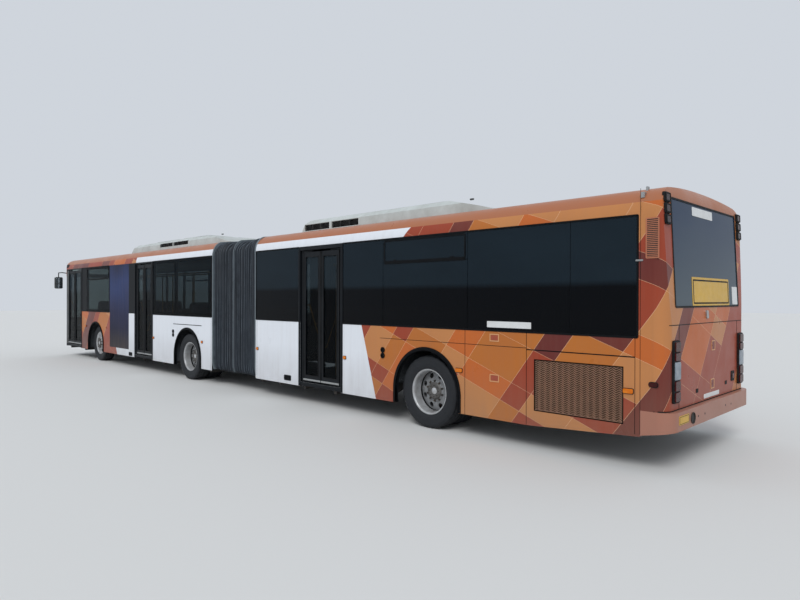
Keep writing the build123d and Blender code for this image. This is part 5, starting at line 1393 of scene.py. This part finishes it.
# The driver's seat: high back with a head pad, on a pleated boot
def driver_seat_piece():
    x, y, floor_z, cushion_z = 7.69, -0.72, 0.56, 0.94
    pads, hard = bmesh.new(), bmesh.new()
    along, face = leaning(0.130, 0.672)

    def on_pan(p):
        return (x + 0.020 + p.x, y + p.y * 1.13, cushion_z + 0.016 + p.z * 1.30)

    def up_back(first, tall, wide):
        def place(p):
            q = Vector((0.002, 0, 0.105)) + along * (first + p.x * tall) + face * (p.z * 1.2)
            return (x + q.x, y + p.y * wide, cushion_z + q.z)
        return place

    def on_shell(u, w, v):
        return (x + u, y + w, cushion_z + v)
    lay(pads, CUSHION, on_pan)
    lay(pads, BACKREST, up_back(0, 1.05, 1.12))
    lay(pads, BACKREST, up_back(0.487, 0.33, 0.72))
    shell(hard, on_shell, 0.243, 1.30)
    # Pleated boot over the suspension, plinth and side lever
    rows = []
    for k in range(17):
        z = floor_z + 0.06 + (cushion_z - 0.02 - floor_z - 0.06) * k / 16
        half = 0.150 if k % 2 else 0.132
        outline = rounded(x + 0.21 - half, x + 0.21 + half, y - half - 0.02, y + half + 0.02,
                          0.035, 3)
        rows.append([hard.verts.new((a, b, z)) for a, b in outline])
    for a, b in zip(rows, rows[1:]):
        quads(hard, a, b, 1)
    brick(hard, (x + 0.04, y - 0.19, floor_z), (x + 0.38, y + 0.19, floor_z + 0.065), 0.012, 2, 2)
    brick(hard, (x + 0.04, y - 0.20, cushion_z - 0.028), (x + 0.40, y + 0.20, cushion_z + 0.004),
          0.008, 2)
    for sign in (1, -1):
        brick(hard, (x + 0.02, y + sign * 0.248, cushion_z + 0.20),
              (x + 0.30, y + sign * 0.292, cushion_z + 0.235), 0.012, 1, 2)
        brick(hard, (x - 0.02, y + sign * 0.240, cushion_z + 0.17),
              (x + 0.03, y + sign * 0.262, cushion_z + 0.22), 0.006, 2)
    tube(hard, [(x + 0.05, y + 0.245, cushion_z - 0.01), (x + 0.28, y + 0.255, cushion_z - 0.01)],
         0.007, 2, 8)
    pad = new_piece("driver_seat_pads", pads, "driver_cloth piping", "front_section")
    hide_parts("driver_seat")
    ob = new_piece("driver_seat_frame", hard, "plastic rubber leg", "front_section")
    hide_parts("driver_seat")


driver_seat_piece()


# Roof units: slatted side vents, lids with their seams, fans and lifting eyes
def roof_pieces():
    units = {
        "rear": (REAR_X, [(5.001, 5.671), (5.732, 6.408)], 2.895, 3.000, "rear_roof_unit"),
        "front": (FRONT_END, [(1.848, 2.588), (2.621, 3.301)], 2.940, 3.030, "front_roof_unit")}
    for section, (start, vents, z0, z1, node) in units.items():
        (x0, _, _), (x1, _, top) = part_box(node)
        span = x1 - x0
        bm = bmesh.new()
        for sign in (1, -1):
            for a, b in vents:
                # A near-black backing in the recess, painted shade behind the slats, then slats
                # that lean out and down
                brick(bm, (start + a + 0.002, sign * 0.8055, z0 + 0.002),
                      (start + b - 0.002, sign * 0.812, z1 - 0.002), 0, 0)
                count = 5
                for k in range(count):
                    z = z0 + (z1 - z0) * (k + 0.5) / count
                    slat = [(0.812, z + 0.004), (0.846, z - 0.006), (0.846, z - 0.0035),
                            (0.812, z + 0.0065)]
                    rows = [[bm.verts.new((start + x, sign * p, q)) for p, q in slat]
                            for x in (a + 0.004, b - 0.004)]
                    quads(bm, rows[0], rows[1], 1)
                    for row in rows:
                        bm.faces.new(row).material_index = 1
                for x in (a + (b - a) / 3, a + (b - a) * 2 / 3):
                    brick(bm, (start + x - 0.004, sign * 0.812, z0 + 0.002),
                          (start + x + 0.004, sign * 0.8495, z1 - 0.002), 0, 1)

        def on_top(p, q, out):
            return (p, q, top + out)
        # Lids with rounded corners, and a fan guard in each
        for k in range(2):
            a = x0 + span * (0.24 + 0.29 * k)
            b = a + span * 0.25
            for s in (1, -1):
                y0, y1 = pair(s, 0.06, 0.66)
                inner = rounded(a + 0.012, b - 0.012, y0 + 0.012, y1 - 0.012, 0.04)
                band(bm, rounded(a, b, y0, y1, 0.05), inner, on_top, 0.006, 2, -0.004)
                cx, cy = (a + b) / 2, (y0 + y1) / 2
                r = min(b - a, y1 - y0) * 0.36
                for share, wide in ((1.0, 0.012), (0.78, 0.004), (0.56, 0.004), (0.34, 0.004)):
                    band(bm, circle(cx, cy, r * share, 36), circle(cx, cy, r * share - wide, 36),
                         on_top, 0.007, 3, 0.0005)
                # A dark disc under the guard: painted shade in the fan's opening
                plate(bm, circle(cx, cy, r, 36), on_top, 0.0012)
                for t in range(6):
                    turn = t * math.pi / 6
                    c, d = math.cos(turn), math.sin(turn)
                    corners = [(cx + c * u - d * v, cy + d * u + c * v)
                               for u, v in square(-r, r, -0.002, 0.002)]
                    plate(bm, corners, on_top, 0.0065, 3, 0.001, 0.0005)
        for x in (x0 + span * 0.14, x1 - span * 0.14):
            for s in (1, -1):
                brick(bm, (x - 0.03, s * 0.60 - 0.012, top - 0.02),
                      (x + 0.03, s * 0.60 + 0.012, top + 0.004), 0.003, 3)
        new_piece(f"{section}_roof_unit_fittings", bm, "vent unit_dark unit alloy",
                  f"{section}_section")


roof_pieces()


NOSE_CORNER = [(1.12, 0.075), (1.153, 0.0777), (1.203, 0.1009), (1.233, 0.1340), (1.25, 0.20)]


def on_nose(a, b, out):
    """Points on the bowed nose: a is Y, b is Z."""
    away = abs(a)
    drop = 0.0597 * away ** 2
    for (y0, d0), (y1, d1) in zip(NOSE_CORNER, NOSE_CORNER[1:]):
        if y0 < away <= y1:
            drop = d0 + (d1 - d0) * (away - y0) / (y1 - y0)
    return (FRONT_X - drop + out, a, b)


def screen_x(y, z):
    """X of the raked front over the bumper."""
    lean = 0.070 * min(max((z - 1.2) / 1.485, 0), 1)
    return min(on_nose(y, z, 0)[0], FRONT_X - lean)


def round_lamp(bm, y, z, radius):
    """A lamp bowl with a bright rim and a domed lens."""
    rows = []
    for share, out in ((1.0, -0.036), (1.0, -0.008), (0.95, -0.005), (0.90, -0.008), (0.88, -0.014),
                       (0.86, -0.008), (0.70, -0.001), (0.45, 0.003), (0.18, 0.005)):
        rows.append([bm.verts.new(on_nose(a, b, out))
                     for a, b in circle(y, z, radius * share, 32)])
    for k, (a, b) in enumerate(zip(rows, rows[1:])):
        quads(bm, a, b, 1 if k < 4 else 2)
    bm.faces.new(rows[-1]).material_index = 2


def lamp_bucket(bm, y0, y1, z0, z1, width, radius):
    """A dark bezel and the bucket behind it."""
    border(bm, y0, y1, z0, z1, width, radius, on_nose, 0.002, 0, -0.045)
    plate(bm, rounded(y0 + 0.004, y1 - 0.004, z0 + 0.004, z1 - 0.004, radius - 0.004), on_nose,
          -0.036, 0, -0.048)


# The nose: lamps in dark bezels, the seam over the bumper and the windscreen's rubber
def nose_pieces():
    bm = bmesh.new()
    for sign in (1, -1):
        # Headlamp: two lamps, and the turn lamp at the outer end
        lamp_bucket(bm, *pair(sign, 0.782, 1.058), 0.702, 0.858, 0.012, 0.018)
        round_lamp(bm, sign * 0.850, 0.780, 0.055)
        round_lamp(bm, sign * 0.962, 0.780, 0.048)
        plate(bm, rounded(*pair(sign, 1.016, 1.044), 0.722, 0.838, 0.010), on_nose, -0.006, 3,
              -0.036, 0.004)
        # Small lower lamp
        lamp_bucket(bm, *pair(sign, 0.802, 0.958), 0.432, 0.518, 0.010, 0.014)
        round_lamp(bm, sign * 0.880, 0.475, 0.033)
    lamps = new_piece("front_lamp_units", bm, "vent alloy clear amber", "front_section")
    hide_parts("front_lamps")
    bm = bmesh.new()
    line = [(-1.24 + 2.48 * k / 96, 0.640) for k in range(97)]
    band(bm, [(a, b + 0.003) for a, b in line], [(a, b - 0.003) for a, b in line], on_nose, 0.0012,
         base=-0.002, closed=False)
    # Rubber up both sides of the windscreen
    z0, z1 = 1.052, 2.388
    for sign in (1, -1):
        rows = [[bm.verts.new((screen_x(a, z) + 0.001, a, z)) for a in pair(sign, 1.110, 1.122)]
                for z in [z0 + (z1 - z0) * k / 12 for k in range(13)]]
        for a, b in zip(rows, rows[1:]):
            quads(bm, a, b, 0, closed=False)
    new_piece("nose_trim", bm, "gasket", "front_section")


nose_pieces()


# Mirror glasses on the backs of the housings
def mirror_glasses():
    bm = bmesh.new()

    def on_mirror(a, b, out):
        return (9.060 - out, a, b)
    for y in (1.35, -1.35):
        for z0, z1, radius in ((2.155, 2.330, 0.030), (2.020, 2.135, 0.028)):
            plate(bm, rounded(y - 0.086, y + 0.086, z0, z1, radius), on_mirror, 0.004)
    new_piece("mirror_glasses", bm, "mirror", "front_section")


mirror_glasses()


# Floor and light
bpy.ops.mesh.primitive_plane_add(size=160, location=(0, 0, 0))
ground = bpy.context.object
ground.name = "ground"
g = Graph("studio_floor")
ground.data.materials.append(g.finish(rgb(214, 214, 212), 0.9))

world = bpy.data.worlds.new("studio")
bpy.context.scene.world = world
world.use_nodes = True
background = world.node_tree.nodes["Background"]
background.inputs["Color"].default_value = (0.80, 0.85, 0.92, 1)
background.inputs["Strength"].default_value = 0.78

sun = bpy.data.objects.new("soft_sun", bpy.data.lights.new("soft_sun", "SUN"))
sun.data.energy = 1.5
sun.data.angle = math.radians(25)
sun.rotation_euler = (math.radians(48), 0, math.radians(-150))
bpy.context.collection.objects.link(sun)
